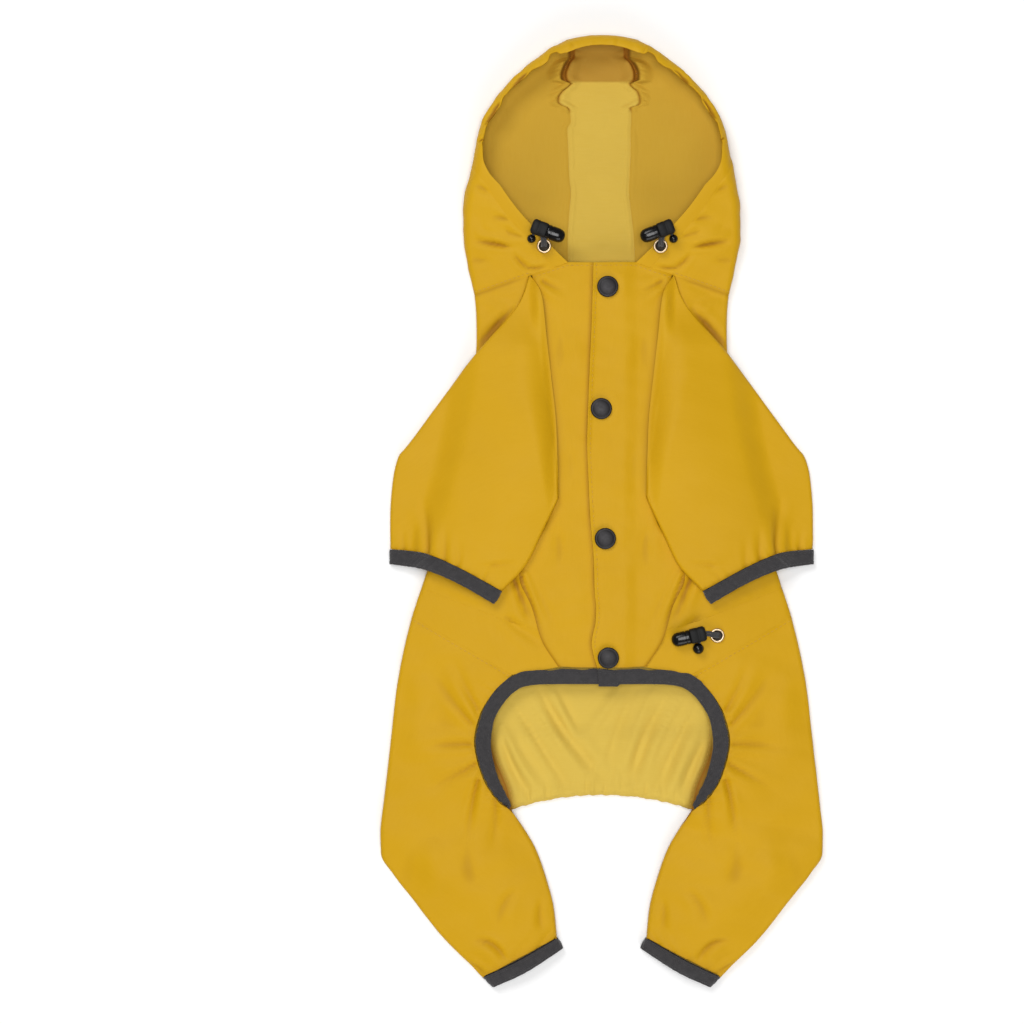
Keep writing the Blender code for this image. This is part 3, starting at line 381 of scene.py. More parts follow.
# Creases on the inner edge of the rim, which the drawcord pulls in.
RIM_FOLDS = table(FOLDS, (
    (-54.6, 253.4, -50.2, 258.6, -44.2, 263.6, -1.3, 1, 0),
    (-70.8, 230.2, -66, 239.4, -60.4, 246, -1.4, 1.1, 0),
    (-73.6, 221.6, -72.6, 222.8, -71, 223.6, -1.2, 0.8, 0),
    (-17.6, 283.8, -18.2, 279.6, -17.4, 275.6, -0.6, 0.9, 0),
    (42, 265, 48, 261, 53.4, 254.6, -1.3, 1, 0),
    (59, 248.4, 64.2, 242, 68.8, 233.8, -1.4, 1.1, 0),
    (71, 221.8, 71.6, 223.2, 73, 224.6, -1.2, 0.8, 0),
    (8.6, 284, 8, 281.6, 8.2, 278.6, -0.5, 0.9, 0),
    (26, 278.2, 24.6, 275.8, 24, 273, -0.5, 1, 0),
))
CHEST_FOLDS = table(FOLDS, (
    (48.2, -38.5, 40.8, -58, 33.4, -78, -1.1, 1.5, 1),
    (46, -37, 37.6, -57, 30.4, -76, 0.6, 2, 1),
    (35.5, 139, 30, 134, 21, 132.5, -0.9, 2, 1),
    (33, 133, 27, 127, 19, 124, 0.5, 3, 1),
    (27, 118, 24, 100, 26, 84, -0.4, 4, 0),
    (18, 108, 13, 92, 14, 72, 0.4, 5, 0),
    (22, 45, 17, 30, 20, 10, -0.4, 4, 0),
    (28, -8, 24, -20, 27, -36, -0.6, 3, 0),
    (40, -42, 33, -60, 31, -78, -0.3, 4, 0),
    (14, -30, 17, -52, 12, -74, 0.4, 5, 0),
))
BODY_FOLDS = table(FOLDS, (
    (53, 124, 63.8, 111.2, 77.5, 96, -1.6, 2.9, 0),
    (72, 127, 62, 124, 56, 119, 0.6, 3.2, 0),
    (49, 134, 56, 131, 64, 132, 0.5, 2.8, 0),
    (60, -61, 46, -73, 33, -80, -1.1, 2.8, 0),
    (54, -37, 46.5, -57, 39.5, -75, -1.5, 2.3, 1),
    (59, -40, 52, -56, 45, -70, 0.6, 3, 1),
    (66, -54, 80, -50, 98, -42, 0.6, 4, 0),
))
SLEEVE_FOLDS = table(FOLDS, (
    (104.6, -24, 103.6, -8, 108, 10, -1.2, 1.9, 1),
    (109.5, -24, 108.5, -10, 114, 6, 0.8, 2.6, 1),
    (99, -26, 99.5, -14, 97, 2, 0.7, 2.4, 1),
    (94, -29, 93, -20, 94, -8, -0.8, 1.8, 1),
    (119, -23.5, 119, -17, 120.5, -8, -0.9, 1.6, 1),
    (86, -32.5, 84.5, -25, 86.5, -14, -0.7, 1.8, 1),
    (72, -32.5, 63, -30.5, 50, -31, -0.6, 1.3, 0),
    (74, -29, 64, -27, 54, -27.5, 0.3, 2.6, 0),
    (70, -40, 66.5, -34, 61, -29, -0.6, 1.8, 1),
    (46, 128, 48, 108, 44, 84, 0.3, 5, 1),
    (40, 122, 40, 96, 36, 66, -0.3, 4, 1),
))


def smoothly(given, column, at):
    """A column of a table at the given places of its first column, on a curve with no overshoot."""
    x, y = (np.asarray(v, float) for v in (list(given.values())[0], given[column]))
    widths, slopes = np.diff(x), np.diff(y) / np.diff(x)
    tangents = np.concatenate([slopes[:1], np.zeros(len(x) - 2), slopes[-1:]])
    same_way = slopes[1:] * slopes[:-1] > 0
    with np.errstate(divide="ignore", invalid="ignore"):
        harmonic = 2 * slopes[1:] * slopes[:-1] / (slopes[1:] + slopes[:-1])
    tangents[1:-1] = np.where(same_way, harmonic, 0.0)
    at = np.clip(np.asarray(at, float), x[0], x[-1])
    i = np.clip(np.searchsorted(x, at, side="right") - 1, 0, len(x) - 2)
    t = (at - x[i]) / widths[i]
    start, end = y[i], y[i + 1]
    lean_in, lean_out = tangents[i] * widths[i], tangents[i + 1] * widths[i]
    return (start * (1 + 2 * t) * (1 - t) ** 2 + lean_in * t * (1 - t) ** 2
            + end * t * t * (3 - 2 * t) + lean_out * t * t * (t - 1))


def row_of(given, at):
    """Every column of a table at a place counted in rows, as a dictionary."""
    count = len(next(iter(given.values())))
    by_row = {"row": np.arange(count), **given}
    return {name: float(smoothly(by_row, name, at)) for name in given}


def spline(points, steps=24):
    """Closely spaced points of a Catmull-Rom curve through the given ones."""
    points = np.array(points, float)
    padded = np.vstack([2 * points[0] - points[1], points, 2 * points[-1] - points[-2]])
    t = np.linspace(0, 1, steps, endpoint=False)[:, None]
    pieces = []
    for a, b, c, d in zip(padded, padded[1:], padded[2:], padded[3:]):
        pieces.append(0.5 * (2 * b + (c - a) * t + (2 * a - 5 * b + 4 * c - d) * t ** 2
                             + (3 * b - 3 * c + d - a) * t ** 3))
    return np.vstack([*pieces, points[-1:]])


def lengths_along(path):
    """Distance of each point of a path from its start, along the path."""
    return np.concatenate([[0.0], np.cumsum(np.linalg.norm(np.diff(path, axis=0), axis=1))])


def pick(path, measure, wanted):
    """Points of a path at the wanted values of a measure that grows along it."""
    return np.column_stack([np.interp(wanted, measure, column) for column in path.T])


def trimmed(path, start, end):
    """The path without its first and last stretch."""
    along = lengths_along(path)
    return pick(path, along, np.linspace(start, along[-1] - end, 2 * len(path)))


def spread(path, count):
    """Points along a path that crowd where it bends."""
    lengths = np.linalg.norm(np.diff(path, axis=0), axis=1)
    path = path[np.concatenate([[True], lengths > 1e-7])]
    steps = np.diff(path, axis=0)
    lengths = np.linalg.norm(steps, axis=1)
    ways = steps / lengths[:, None]
    turns = np.arccos(np.clip((ways[1:] * ways[:-1]).sum(axis=1), -1, 1))
    weights = lengths + BEND_WEIGHT * (np.append(turns, 0) + np.append(0, turns)) / 2
    measure = np.concatenate([[0.0], np.cumsum(weights)])
    return pick(path, measure, np.linspace(0, measure[-1], count))


def step(value, start, end):
    """0 before start and 1 after end, with a smooth rise between."""
    t = np.clip((np.asarray(value, float) - start) / (end - start), 0, 1)
    return t * t * (3 - 2 * t)


def front_height(x, y):
    """Height of the middle of the belly-side cloth."""
    inward = smoothly(BODY, "half_width", y) - ROLL - np.abs(x)
    level = np.sin(math.pi / 2 * np.clip(inward / SETTLE, 0, 1))
    return FLOOR + 2 * ROLL + smoothly(BODY, "rise", y) * level


def back_height(x, y):
    """Height of the middle of the back's cloth: flat, but for what lies under it."""
    side, top = FLAP_SIZE[0] / 2 + FLAP_MARGIN, FLAP_TOP + FLAP_MARGIN
    bottom = FLAP_TOP - FLAP_SIZE[1] - FLAP_MARGIN
    over_flap = (step(np.abs(x), side + FLAP_RAMP, side) * step(y, top + FLAP_RAMP, top)
                 * step(y, bottom - FLAP_RAMP, bottom))
    over_hem = step(y, *HEM_RAMP) * step(y, *HEM_END) * step(np.abs(x), *HEM_SIDE)
    return FLOOR + FLAP_LIFT * over_flap + 2 * HEM_ROLL * over_hem


def chest_height(x, y, lap=0.0):
    """Height of the middle of a chest panel, with its lap where it lies on the other one."""
    lift = CHEST_LIFT * step(y, 150, 132)
    return front_height(x, y) + lift + lap * (1 - step(x, PLACKET_END + 2, PLACKET_END + 12))


def sleeve_floor(x, y):
    """Height of the middle of a sleeve's lower layer: on the coat, and beside it on the surface."""
    half_width = smoothly(BODY, "half_width", y)
    on_coat = front_height(np.minimum(np.abs(x), half_width - ROLL), y) + CHEST_LIFT + SLEEVE_LIFT
    drop = step(np.abs(x) - half_width, -4, 17)
    return on_coat * (1 - drop) + FLOOR * drop


def towards(start, end):
    """The direction from one point to another."""
    way = end - start
    return way / np.linalg.norm(way)


def plan_line(points):
    """Evenly spaced plan points along straight stretches."""
    points = np.array(points, float)
    along = lengths_along(points)
    return pick(points, along, np.linspace(0, along[-1], 120))


def wrap(seam, fold, front, roll, rise, closed=0.0):
    """The middle of cloth from a seam on the back, over the floor, round a side fold and to the front.

    The front's plan points end at its edge. Where closed is 1 both ends curl to meet in an inseam.
    """
    seam, fold = np.array(seam, float), np.array(fold, float)
    line = plan_line([fold, *front])
    along = lengths_along(line)
    out, back_in = towards(seam, fold), towards(line[-3], line[-1])
    curl = roll * closed
    quarter = np.linspace(0, math.pi / 2, 20)
    parts = []
    if curl > 0:
        xy = seam + out * (curl * (1 - np.cos(quarter)))[:, None]
        parts.append(np.column_stack([xy, FLOOR + curl * (1 - np.sin(quarter))]))
    xy = plan_line([seam + out * curl, fold - out * roll])
    parts.append(np.column_stack([xy, back_height(xy[:, 0], xy[:, 1])]))
    angle = np.linspace(-math.pi / 2, 0, 24)
    xy = fold - out * (roll * (1 - np.cos(angle)))[:, None]
    parts.append(np.column_stack([xy, FLOOR + roll * (1 + np.sin(angle))]))
    angle = np.linspace(0, math.acos(1 - min(1.0, along[-1] / roll)), 24)
    xy = pick(line, along, roll * (1 - np.cos(angle)))
    parts.append(np.column_stack([xy, FLOOR + roll * (1 + np.sin(angle))]))
    reach = along[-1] - roll - curl
    if reach > 0:
        inward = np.linspace(0, reach, 120)
        level = (1 - closed) * np.sin(math.pi / 2 * np.clip(inward / SETTLE, 0, 1))
        height = FLOOR + 2 * roll + rise * (level + closed * np.sin(math.pi * inward / reach))
        parts.append(np.column_stack([pick(line, along, roll + inward), height]))
        if curl > 0:
            xy = line[-1] - back_in * (curl * (1 - np.sin(quarter)))[:, None]
            parts.append(np.column_stack([xy, height[-1] - curl * (1 - np.cos(quarter))]))
    return np.vstack(parts)


def mirrored(grid):
    """The same points on the coat's other side."""
    return grid * (-1, 1, 1)


# ---- folds, puckers and seams --------------------------------------------------------------------


def across_grid(grid, axis, ring):
    """Central differences of a grid's points, closed where the grid is a ring."""
    if ring and axis == 1:
        return (np.roll(grid, -1, axis=1) - np.roll(grid, 1, axis=1)) / 2
    return np.gradient(grid, axis=axis)


def normals_of(grid, outward, ring=False):
    """The cloth's outward normal at each point of its grid."""
    normal = outward * np.cross(across_grid(grid, 1, ring), across_grid(grid, 0, ring))
    return normal / np.maximum(np.linalg.norm(normal, axis=2, keepdims=True), 1e-9)


def distances(grid, axis):
    """Distance of each point from the first one of its row or column, along the cloth."""
    steps = np.linalg.norm(np.diff(grid, axis=axis), axis=2)
    start = np.zeros_like(steps[:1] if axis == 0 else steps[:, :1])
    return np.concatenate([start, np.cumsum(steps, axis=axis)], axis=axis)


def bend(row, t):
    """Plan points of a fold at places from 0 to 1 along it."""
    a, b, c = (np.array([row[f"x{i}"], row[f"y{i}"]])[None] for i in range(3))
    return (1 - t) ** 2 * a + 2 * t * (1 - t) * b + t ** 2 * c


def bell(d, width, power=2):
    """1 on a line and 0 well away from it, by the distance from it."""
    return np.exp(-(d / width) ** power)


def fade(d, reach):
    """1 at a border and less with the distance from it."""
    return np.exp(-d / reach)


def folds(x, y, given):
    """Height of a table's folds at plan points, each with a hollow beside its ridge."""
    total = np.zeros_like(x)
    for row in rows_of(given):
        t = np.linspace(0, 1, 22)
        line = bend(row, t[:, None])
        middle, reach = line.mean(axis=0), np.ptp(line, axis=0) / 2 + 5 * row["width"] + 3
        near = (np.abs(x - middle[0]) < reach[0]) & (np.abs(y - middle[1]) < reach[1])
        if not near.any():
            continue
        apart = np.hypot(x[near][:, None] - line[:, 0], y[near][:, None] - line[:, 1])
        d, at = apart.min(axis=1), t[apart.argmin(axis=1)]
        width = row["width"] * (0.75 + 0.6 * at)
        rise = bell(d, width) - 0.42 * bell(d - 2.1 * width, 1.1 * width)
        fading = np.where(row["ends"] > 0.5, (1 - at) ** 0.8, np.sin(math.pi * at) ** 0.7)
        total[near] += row["height"] * rise * fading
    return total


def waves(s, wave, lean=0.0):
    """Uneven waves along a seam, by the distance along it."""
    turn = 2 * math.pi * s / wave
    return (np.sin(turn + 1.9 * np.sin(turn / 5.3 + lean) + lean)
            + 0.45 * np.sin(2.3 * turn + 1.1 * np.sin(turn / 3.1 + 2 * lean))) / 1.3


def puckers(s, d, wave, height, reach, lean=0.0):
    """Waves that a gathered or stitched seam sends into the cloth, by the distance from it."""
    return height * bell(np.maximum(d, 0), reach, 1.3) * waves(s + 0.12 * d, wave, lean)


def swell(x, y, wave, height, lean=0.0):
    """Broad, soft unevenness of cloth that lies loosely."""
    k = 2 * math.pi / wave
    return height / 2.4 * (np.sin(k * (0.8 * x + 0.6 * y) + lean) + np.sin(k * (0.9 * y - 0.5 * x) + 2.1 * lean)
                           + 0.7 * np.sin(1.9 * k * (0.6 * x - 0.8 * y) + 3.3 + lean)
                           + 0.5 * np.sin(3.1 * k * (0.3 * x + y) + 1.7 * lean))


def creased(relief):
    """How far the bottom of a deep trough lies in shade, from 0 to 1."""
    return np.clip(-relief - 0.3, 0, 1)


def tucked(d):
    """How far the last of the cloth dips where it reaches under the next piece."""
    return -0.07 * bell(d, 1.6 * TUCK)


def seam_dip(d, depth=0.5, width=1.0):
    """How far a turned seam edge dips below the cloth, and the small roll beside it."""
    return -depth * bell(d, width) + 0.22 * depth * bell(d - 2.4 * width, width)


def edges(grid):
    """Distances of each point from the grid's four borders: row start, row end, first, last row."""
    along, down = distances(grid, 1), distances(grid, 0)
    return along, along[:, -1:] - along, down, down[-1:] - down


def raised(grid, outward, amount, ring=False):
    """The cloth moved along its own normal."""
    return grid + normals_of(grid, outward, ring) * amount[..., None]


def upward_only(grid, outward, amount, share):
    """Moves belly-side cloth along its normal, and the cloth on the surface up only."""
    moved = raised(grid, outward, amount * share)
    moved[..., 2] += np.maximum(amount, 0) * (1 - share)
    return moved


# ---- materials -----------------------------------------------------------------------------------


def linear(red, green, blue):
    """A screen colour in 0 to 255 as linear light."""
    return tuple(((c / 255 + 0.055) / 1.055) ** 2.4 for c in (red, green, blue))


class Shader:
    """A Principled material and short ways to add nodes to it."""

    def __init__(self, name, colour, roughness, **more):
        self.material = bpy.data.materials.new(name)
        self.material.use_nodes = True
        self.tree = self.material.node_tree
        self.surface = self.tree.nodes["Principled BSDF"]
        for socket, value in {"Base_Color": (*colour, 1), "Roughness": roughness, **more}.items():
            self.fill(self.surface.inputs[socket.replace("_", " ")], value)

    def fill(self, socket, value):
        """Links a socket to the one that is given, or sets its value."""
        if isinstance(value, bpy.types.NodeSocket):
            self.tree.links.new(value, socket)
        else:
            socket.default_value = value

    def node(self, kind, **values):
        """A node with its settings, in small letters, and its sockets, with a capital."""
        made = self.tree.nodes.new("ShaderNode" + kind)
        for name, value in values.items():
            if name[0].islower():
                setattr(made, name, value)
            else:
                self.fill(made.inputs[name.replace("_", " ")], value)
        return made

    def texture(self, kind, vector, output=0, **values):
        return self.node("Tex" + kind, Vector=vector, Scale=1.0, **values).outputs[output]

    def maths(self, operation, a, b=0.0):
        made = self.node("Math", operation=operation)
        self.fill(made.inputs[0], a)
        self.fill(made.inputs[1], b)
        return made.outputs[0]

    def times(self, a, b):
        return self.maths("MULTIPLY", a, b)

    def rough(self, texture, amount, base):
        """Roughness that varies with a texture, from a base value."""
        self.link(self.maths("ADD", self.times(texture, amount), base), "Roughness")

    def uv(self, across, along):
        """The cloth's own coordinates, with the given sizes of one cell in metres."""
        made = self.node("Mapping", Vector=self.node("UVMap", uv_map="Cloth").outputs["UV"])
        made.inputs["Scale"].default_value = (1 / across, 1 / along, 1)
        return made.outputs[0]

    def place(self, size):
        """The object's coordinates, with the size of one cell in metres."""
        made = self.node("Mapping", Vector=self.node("TexCoord").outputs["Object"])
        made.inputs["Scale"].default_value = (1 / size,) * 3
        return made.outputs[0]

    def mix(self, factor, a, b):
        """A colour between two others, each a socket or red, green and blue."""
        made = self.node("Mix", data_type="RGBA")
        self.fill(made.inputs[0], factor)
        for socket, value in ((6, a), (7, b)):
            self.fill(made.inputs[socket], (*value, 1) if isinstance(value, tuple) else value)
        return made.outputs[2]

    def link(self, value, name):
        self.tree.links.new(value, self.surface.inputs[name])

    def bump(self, height, strength, distance, **under):
        made = self.node("Bump", Height=height, Strength=strength, Distance=distance, **under).outputs[0]
        self.link(made, "Normal")
        return made


def woven(name, colour, dark, light, roughness, strength, marks=("grime",)):
    """Cloth: a plain weave, fine crumple and soft colour changes, with painted shade in its creases and at its
    seams, and edge wear with painted light on its folds.
    """
    colour, dark, light = linear(*colour), linear(*dark), linear(*light)
    s = Shader(name, colour, roughness, Sheen_Weight=0.02, Sheen_Roughness=0.4, Sheen_Tint=(*light, 1),
               Specular_IOR_Level=0.18)
    threads = s.node("SeparateXYZ", Vector=s.uv(WEAVE, WEAVE)).outputs
    warp, weft = (s.maths("SINE", s.times(threads[i], 2 * math.pi)) for i in (0, 1))
    cells = s.times(warp, weft)
    crumple = s.texture("Noise", s.place(0.012), Detail=4.0, Roughness=0.55)
    broad = s.texture("Noise", s.place(0.055), Detail=2.0, Roughness=0.5)
    slubs = s.texture("Noise", s.uv(0.0006, 0.012), Detail=1.0)
    mixed = s.mix(s.times(broad, 0.16), colour, dark)
    mixed = s.mix(s.times(s.maths("SUBTRACT", slubs, 0.3), 0.3), mixed, light)
    # The first mark mixes towards the light colour as edge wear and painted light; the others mix towards the
    # dark colour as painted shade.
    for mark, share, tint in (("wear", 0.3, light), *((mark, 0.9, dark) for mark in marks)):
        shade = s.node("Attribute", attribute_name=mark).outputs["Fac"]
        mixed = s.mix(s.times(shade, share), mixed, tint)
    s.link(mixed, "Base Color")
    s.rough(crumple, 0.16, roughness - 0.08)
    s.bump(cells, strength, 0.00012, Normal=s.bump(crumple, 0.35, 0.0006))
    return s.material


def ribbed(name, colour, dark, light):
    """Elastic binding: fine ribs across it and a coarse knit along them."""
    s = Shader(name, linear(*colour), 0.85, Sheen_Weight=0.25, Sheen_Roughness=0.5, Specular_IOR_Level=0.3)
    threads = s.node("SeparateXYZ", Vector=s.uv(0.0011, 0.0008)).outputs
    ribs = s.maths("SINE", s.times(threads[1], 2 * math.pi))
    knit = s.maths("SINE", s.maths("ADD", s.times(threads[0], 2 * math.pi), ribs))
    fluff = s.texture("Noise", s.place(0.003), Detail=5.0)
    s.link(s.mix(s.times(fluff, 0.7), linear(*dark), linear(*light)), "Base Color")
    under = s.bump(s.maths("ADD", ribs, s.times(knit, 0.6)), 0.6, 0.00018)
    s.bump(fluff, 0.3, 0.0003, Normal=under)
    return s.material


def metal(name, colour, roughness, worn, metallic):
    """Plated or lacquered metal with fine scratches and rubbed spots."""
    colour = linear(*colour)
    s = Shader(name, colour, roughness, Metallic=metallic)
    scratches = s.texture("Noise", s.place(0.0016), Detail=6.0, Distortion=1.2)
    rubbed = s.texture("Noise", s.place(0.006), Detail=3.0)
    lighter = tuple(min(1.0, c * 1.7 + 0.02) for c in colour)
    s.link(s.mix(s.times(s.maths("SUBTRACT", rubbed, 0.45), worn), colour, lighter), "Base Color")
    s.rough(scratches, 0.25, roughness - 0.1)
    s.bump(scratches, 0.12, 0.0001)
    return s.material


def moulded(name, colour, roughness):
    """Moulded plastic: smooth, with faint flow marks and scuffs."""
    colour = linear(*colour)
    s = Shader(name, colour, roughness, Specular_IOR_Level=0.3)
    scuffs = s.texture("Noise", s.place(0.004), Detail=5.0, Distortion=0.6)
    s.rough(scuffs, 0.22, roughness - 0.08)
    s.link(s.mix(s.times(scuffs, 0.12), colour, linear(60, 60, 62)), "Base Color")
    s.bump(scuffs, 0.04, 0.0001)
    return s.material


def braided(name, colour, dark):
    """Braided cord, from two slanting sets of strands."""
    s = Shader(name, linear(*colour), 0.8, Sheen_Weight=0.3)
    cells = s.texture("Voronoi", s.place(0.0007), "Distance", Randomness=0.35)
    s.link(s.mix(cells, linear(*colour), linear(*dark)), "Base Color")
    s.bump(cells, 0.7, 0.0003)
    return s.material


def thread(name, colour):
    """Sewing thread with its twist."""
    s = Shader(name, linear(*colour), 0.6, Sheen_Weight=0.3)
    s.bump(s.texture("Wave", s.place(0.0009), "Fac", Distortion=0.4), 0.5, 0.0001)
    return s.material


def reflective(name):
    """Reflective tape: silver-grey film with a fine bead texture."""
    s = Shader(name, linear(196, 198, 200), 0.34, Metallic=0.35)
    beads = s.texture("Voronoi", s.place(0.0006), "Distance", Randomness=0.6)
    s.bump(beads, 0.25, 0.0001)
    s.link(s.mix(s.times(beads, 0.5), linear(205, 207, 208), linear(150, 152, 155)), "Base Color")
    return s.material


# Each cloth's dark colour tints its soft colour changes and its painted shade.
SHELL = woven("RainCloth", (210, 161, 8), (150, 98, 2), (218, 172, 34), 0.55, 0.16)
INSIDE = woven("RainClothInside", (214, 180, 72), (150, 88, 4), (220, 190, 96), 0.75, 0.3,
               ("grime", "inner_shade"))
# A lighter copy of the lining for the seat: painted light where it lies under the arch.
INSIDE_PAINTED_LIGHT = woven("RainClothInsideSeatPaintedLight", (222, 189, 80), (146, 92, 12), (228, 200, 104), 0.75, 0.3)
# A darker copy of the lining for the hood's side panels: painted shade.
INSIDE_PAINTED_SHADE = woven("RainClothInsideSidesPaintedShade", (201, 159, 48), (128, 78, 8), (208, 172, 66), 0.75, 0.3,
                    ("grime", "inner_shade"))
BINDING = ribbed("ElasticBinding", (60, 58, 60), (44, 43, 45), (78, 75, 76))
SNAP_METAL = metal("GunmetalLacquer", (43, 41, 43), 0.48, 0.6, 0.55)
# The eyelets' plating is tinted cream: partly its own tone and partly a painted reflection of the yellow coat.
NICKEL_WITH_PAINTED_REFLECTION = metal("NickelPlate", (186, 164, 134), 0.34, 0.3, 1.0)
PLASTIC = moulded("BlackPlastic", (6, 5, 5), 0.16)
MATT_PLASTIC = moulded("MattBlackPlastic", (10, 10, 9), 0.6)
# A dark cup finish that stands in for the shade inside an eyelet's barrel: painted shade.
SHADE_WELL_FINISH = metal("ShadedBarrel", (44, 36, 26), 0.55, 0.6, 0.55)
BRAID = braided("DrawcordBraid", (60, 59, 62), (34, 34, 36))
YELLOW_THREAD = thread("YellowThread", (206, 158, 34))
DARK_THREAD = thread("DarkThread", (48, 47, 50))
TAPE = reflective("ReflectiveTape")


# ---- pieces --------------------------------------------------------------------------------------


def join(name, mesh, slot, *nodes):
    """An object on the body root that stands for CAD nodes, which it hides; slot is not used."""
    made = bpy.data.objects.new(name, mesh)
    bpy.context.scene.collection.objects.link(made)
    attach(made, "root")
    if nodes:
        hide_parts(*nodes)
    return made


# Marks each piece of cloth carries: edge wear with painted light, painted shade, and painted shade deep in the
# hood's gathers.
MARKS = ("wear", "grime", "inner_shade")


def crisp(values, axis):
    """The grid with one more row close to its first and last ones, which keeps their edges crisp."""
    values = np.moveaxis(values, axis, 0)
    first, last = (values[a] + (values[b] - values[a]) * NEAR_BORDER for a, b in ((0, 1), (-1, -2)))
    closer = np.concatenate([values[:1], first[None], values[1:-1], last[None], values[-1:]])
    return np.moveaxis(closer, 0, axis)


def cloth(name, grid, outward, nodes, looks=(SHELL, INSIDE), slot="rain_shell", wall=CLOTH, ring=False,
          **marks):
    """A piece of cloth from its grid, with its outer and inner finish and its own coordinates."""
    layers = [np.broadcast_to(np.clip(marks.get(mark, 0.0), 0, 1), grid.shape[:2])[..., None] for mark in MARKS]
    grid = crisp(np.concatenate([grid, *layers], axis=2), 0)
    grid = grid if ring else crisp(grid, 1)
    grid, layers = grid[..., :3], np.moveaxis(grid[..., 3:], 2, 0)
    rows, columns = grid.shape[:2]
    index = np.arange(rows * columns).reshape(rows, columns)
    right = np.roll(index, -1, axis=1)
    last = columns if ring else columns - 1
    quads = np.stack([index[:-1, :last], right[:-1, :last], right[1:, :last], index[1:, :last]], axis=-1)
    if outward < 0:
        quads = quads[..., ::-1]
    quads = quads.reshape(-1, 4)
    mesh = bpy.data.meshes.new(name)
    mesh.from_pydata((grid.reshape(-1, 3) * MM).tolist(), [], quads.tolist())
    mesh.shade_smooth()
    closed = np.concatenate([grid, grid[:, :1]], axis=1) if ring else grid
    u, v = distances(closed, 1) * MM, distances(closed, 0) * MM
    v = np.broadcast_to(v.mean(axis=1, keepdims=True), v.shape)
    wide = closed.shape[1]
    flat = np.stack([u, v], axis=-1).reshape(-1, 2)
    corner = quads.reshape(-1)
    row, column = corner // columns, corner % columns
    if ring:
        first = (quads % columns == 0).any(axis=1) & (quads % columns == columns - 1).any(axis=1)
        wraps = np.repeat(first, 4) & (column == 0)
        column = np.where(wraps, columns, column)
    uv = mesh.uv_layers.new(name="Cloth")
    uv.data.foreach_set("uv", flat[row * wide + column].astype(np.float32).ravel())
    for attribute, values in zip(MARKS, layers):
        layer = mesh.attributes.new(attribute, "FLOAT", "POINT")
        layer.data.foreach_set("value", values.astype(np.float32).ravel())
    made = join(name, mesh, slot, *nodes)
    for look in looks:
        mesh.materials.append(look)
    thicken = made.modifiers.new("Cloth", "SOLIDIFY")
    thicken.thickness = wall * MM
    thicken.offset = 0.0
    thicken.material_offset = len(looks) - 1
    thicken.material_offset_rim = 0
    return made


def declare(piece, grid, ring=False, rests_on=("floor",), with_pieces=()):
    """Closes a ring's grid and does nothing more with the piece or its grid."""
    grid = np.concatenate([grid, grid[:, :1]], axis=1) if ring else grid


def both(name, grids, outward, nodes, *finish, **more):
    """The right piece and the left one, from the right-hand grid of each."""
    return [cloth(f"{name}_{side}", grid * (flip, 1, 1), flip * outward, [f"{node}_{side}" for node in nodes],
                  *finish, **more) for (side, flip), grid in zip(SIDES, grids)]


STITCHES = {"yellow": [], "dark": []}


def stitch(colour, line, normal, spacing=STITCH_SPACING, length=STITCH_LENGTH):
    """Notes the places of a row of stitches along a line of points on the cloth."""
    along = lengths_along(line)
    count = max(1, int(along[-1] / spacing))
    centres = (np.arange(count) + 0.5) * along[-1] / count
    a, b = pick(line, along, centres - length / 2), pick(line, along, centres + length / 2)
    STITCHES[colour].append((a, b, pick(normal, along, centres)))


def seam_line(grid, normal, border, inset, lift):
    """A line of points over the cloth at a distance from one of the grid's borders."""
    if border in ("first", "last"):
        grid, normal = np.swapaxes(grid, 0, 1), np.swapaxes(normal, 0, 1)
    if border in ("end", "last"):
        grid, normal = grid[:, ::-1], normal[:, ::-1]
    along = distances(grid, 1)
    points, ups = (np.array([pick(row, a, [inset])[0] for row, a in zip(rows, along)])
                   for rows in (grid, normal))
    return points + ups * lift, ups


def sew(colour, grid, outward, insets, flip=1, lift=SEAM_LIFT, shown=None, **more):
    """A row of stitches beside each border that insets names, at its distance from that border.

    shown tells from a border and its line which of the line's points are sewn.
    """
    normal = normals_of(grid, outward)
    for border, inset in insets.items():
        line, up = seam_line(grid, normal, border, inset, lift)
        if shown:
            kept = shown(border, line)
            line, up = line[kept], up[kept]
        stitch(colour, line * (flip, 1, 1), up * (flip, 1, 1), **more)


def make_stitches():
    """All stitches of one colour as one mesh: short rods that sink into the cloth at both ends."""
    turns = np.linspace(0, 2 * math.pi, 5, endpoint=False)
    for colour, finish, slot in (("yellow", YELLOW_THREAD, "rain_shell"), ("dark", DARK_THREAD, "binding")):
        a, b, up = (np.concatenate([row[i] for row in STITCHES[colour]]) for i in range(3))
        way = b - a
        side = np.cross(way, up)
        side /= np.linalg.norm(side, axis=1, keepdims=True)
        rings = []
        for at, girth, lift in STITCH_STATIONS:
            centre = a + way * at + up * lift
            ring = [centre + STITCH_RADIUS * girth * (math.cos(t) * side + STITCH_FLATNESS * math.sin(t) * up)
                    for t in turns]
            rings.append(np.stack(ring, axis=1))
        points = np.stack(rings, axis=1)
        points[..., 2] = np.maximum(points[..., 2], 0.02)
        index = np.arange(points[..., 0].size).reshape(points.shape[:3])
        turned = np.roll(index, -1, axis=2)
        walls = np.stack([index[:, :-1], turned[:, :-1], turned[:, 1:], index[:, 1:]], axis=-1).reshape(-1, 4)
        caps = np.concatenate([index[:, 0, ::-1], index[:, -1]])
        mesh = bpy.data.meshes.new(f"stitches_{colour}")
        mesh.from_pydata((points.reshape(-1, 3) * MM).tolist(), [], walls.tolist() + caps.tolist())
        mesh.shade_smooth()
        mesh.materials.append(finish)
        join(f"stitches_{colour}", mesh, slot)


# ---- body ----------------------------------------------------------------------------------------


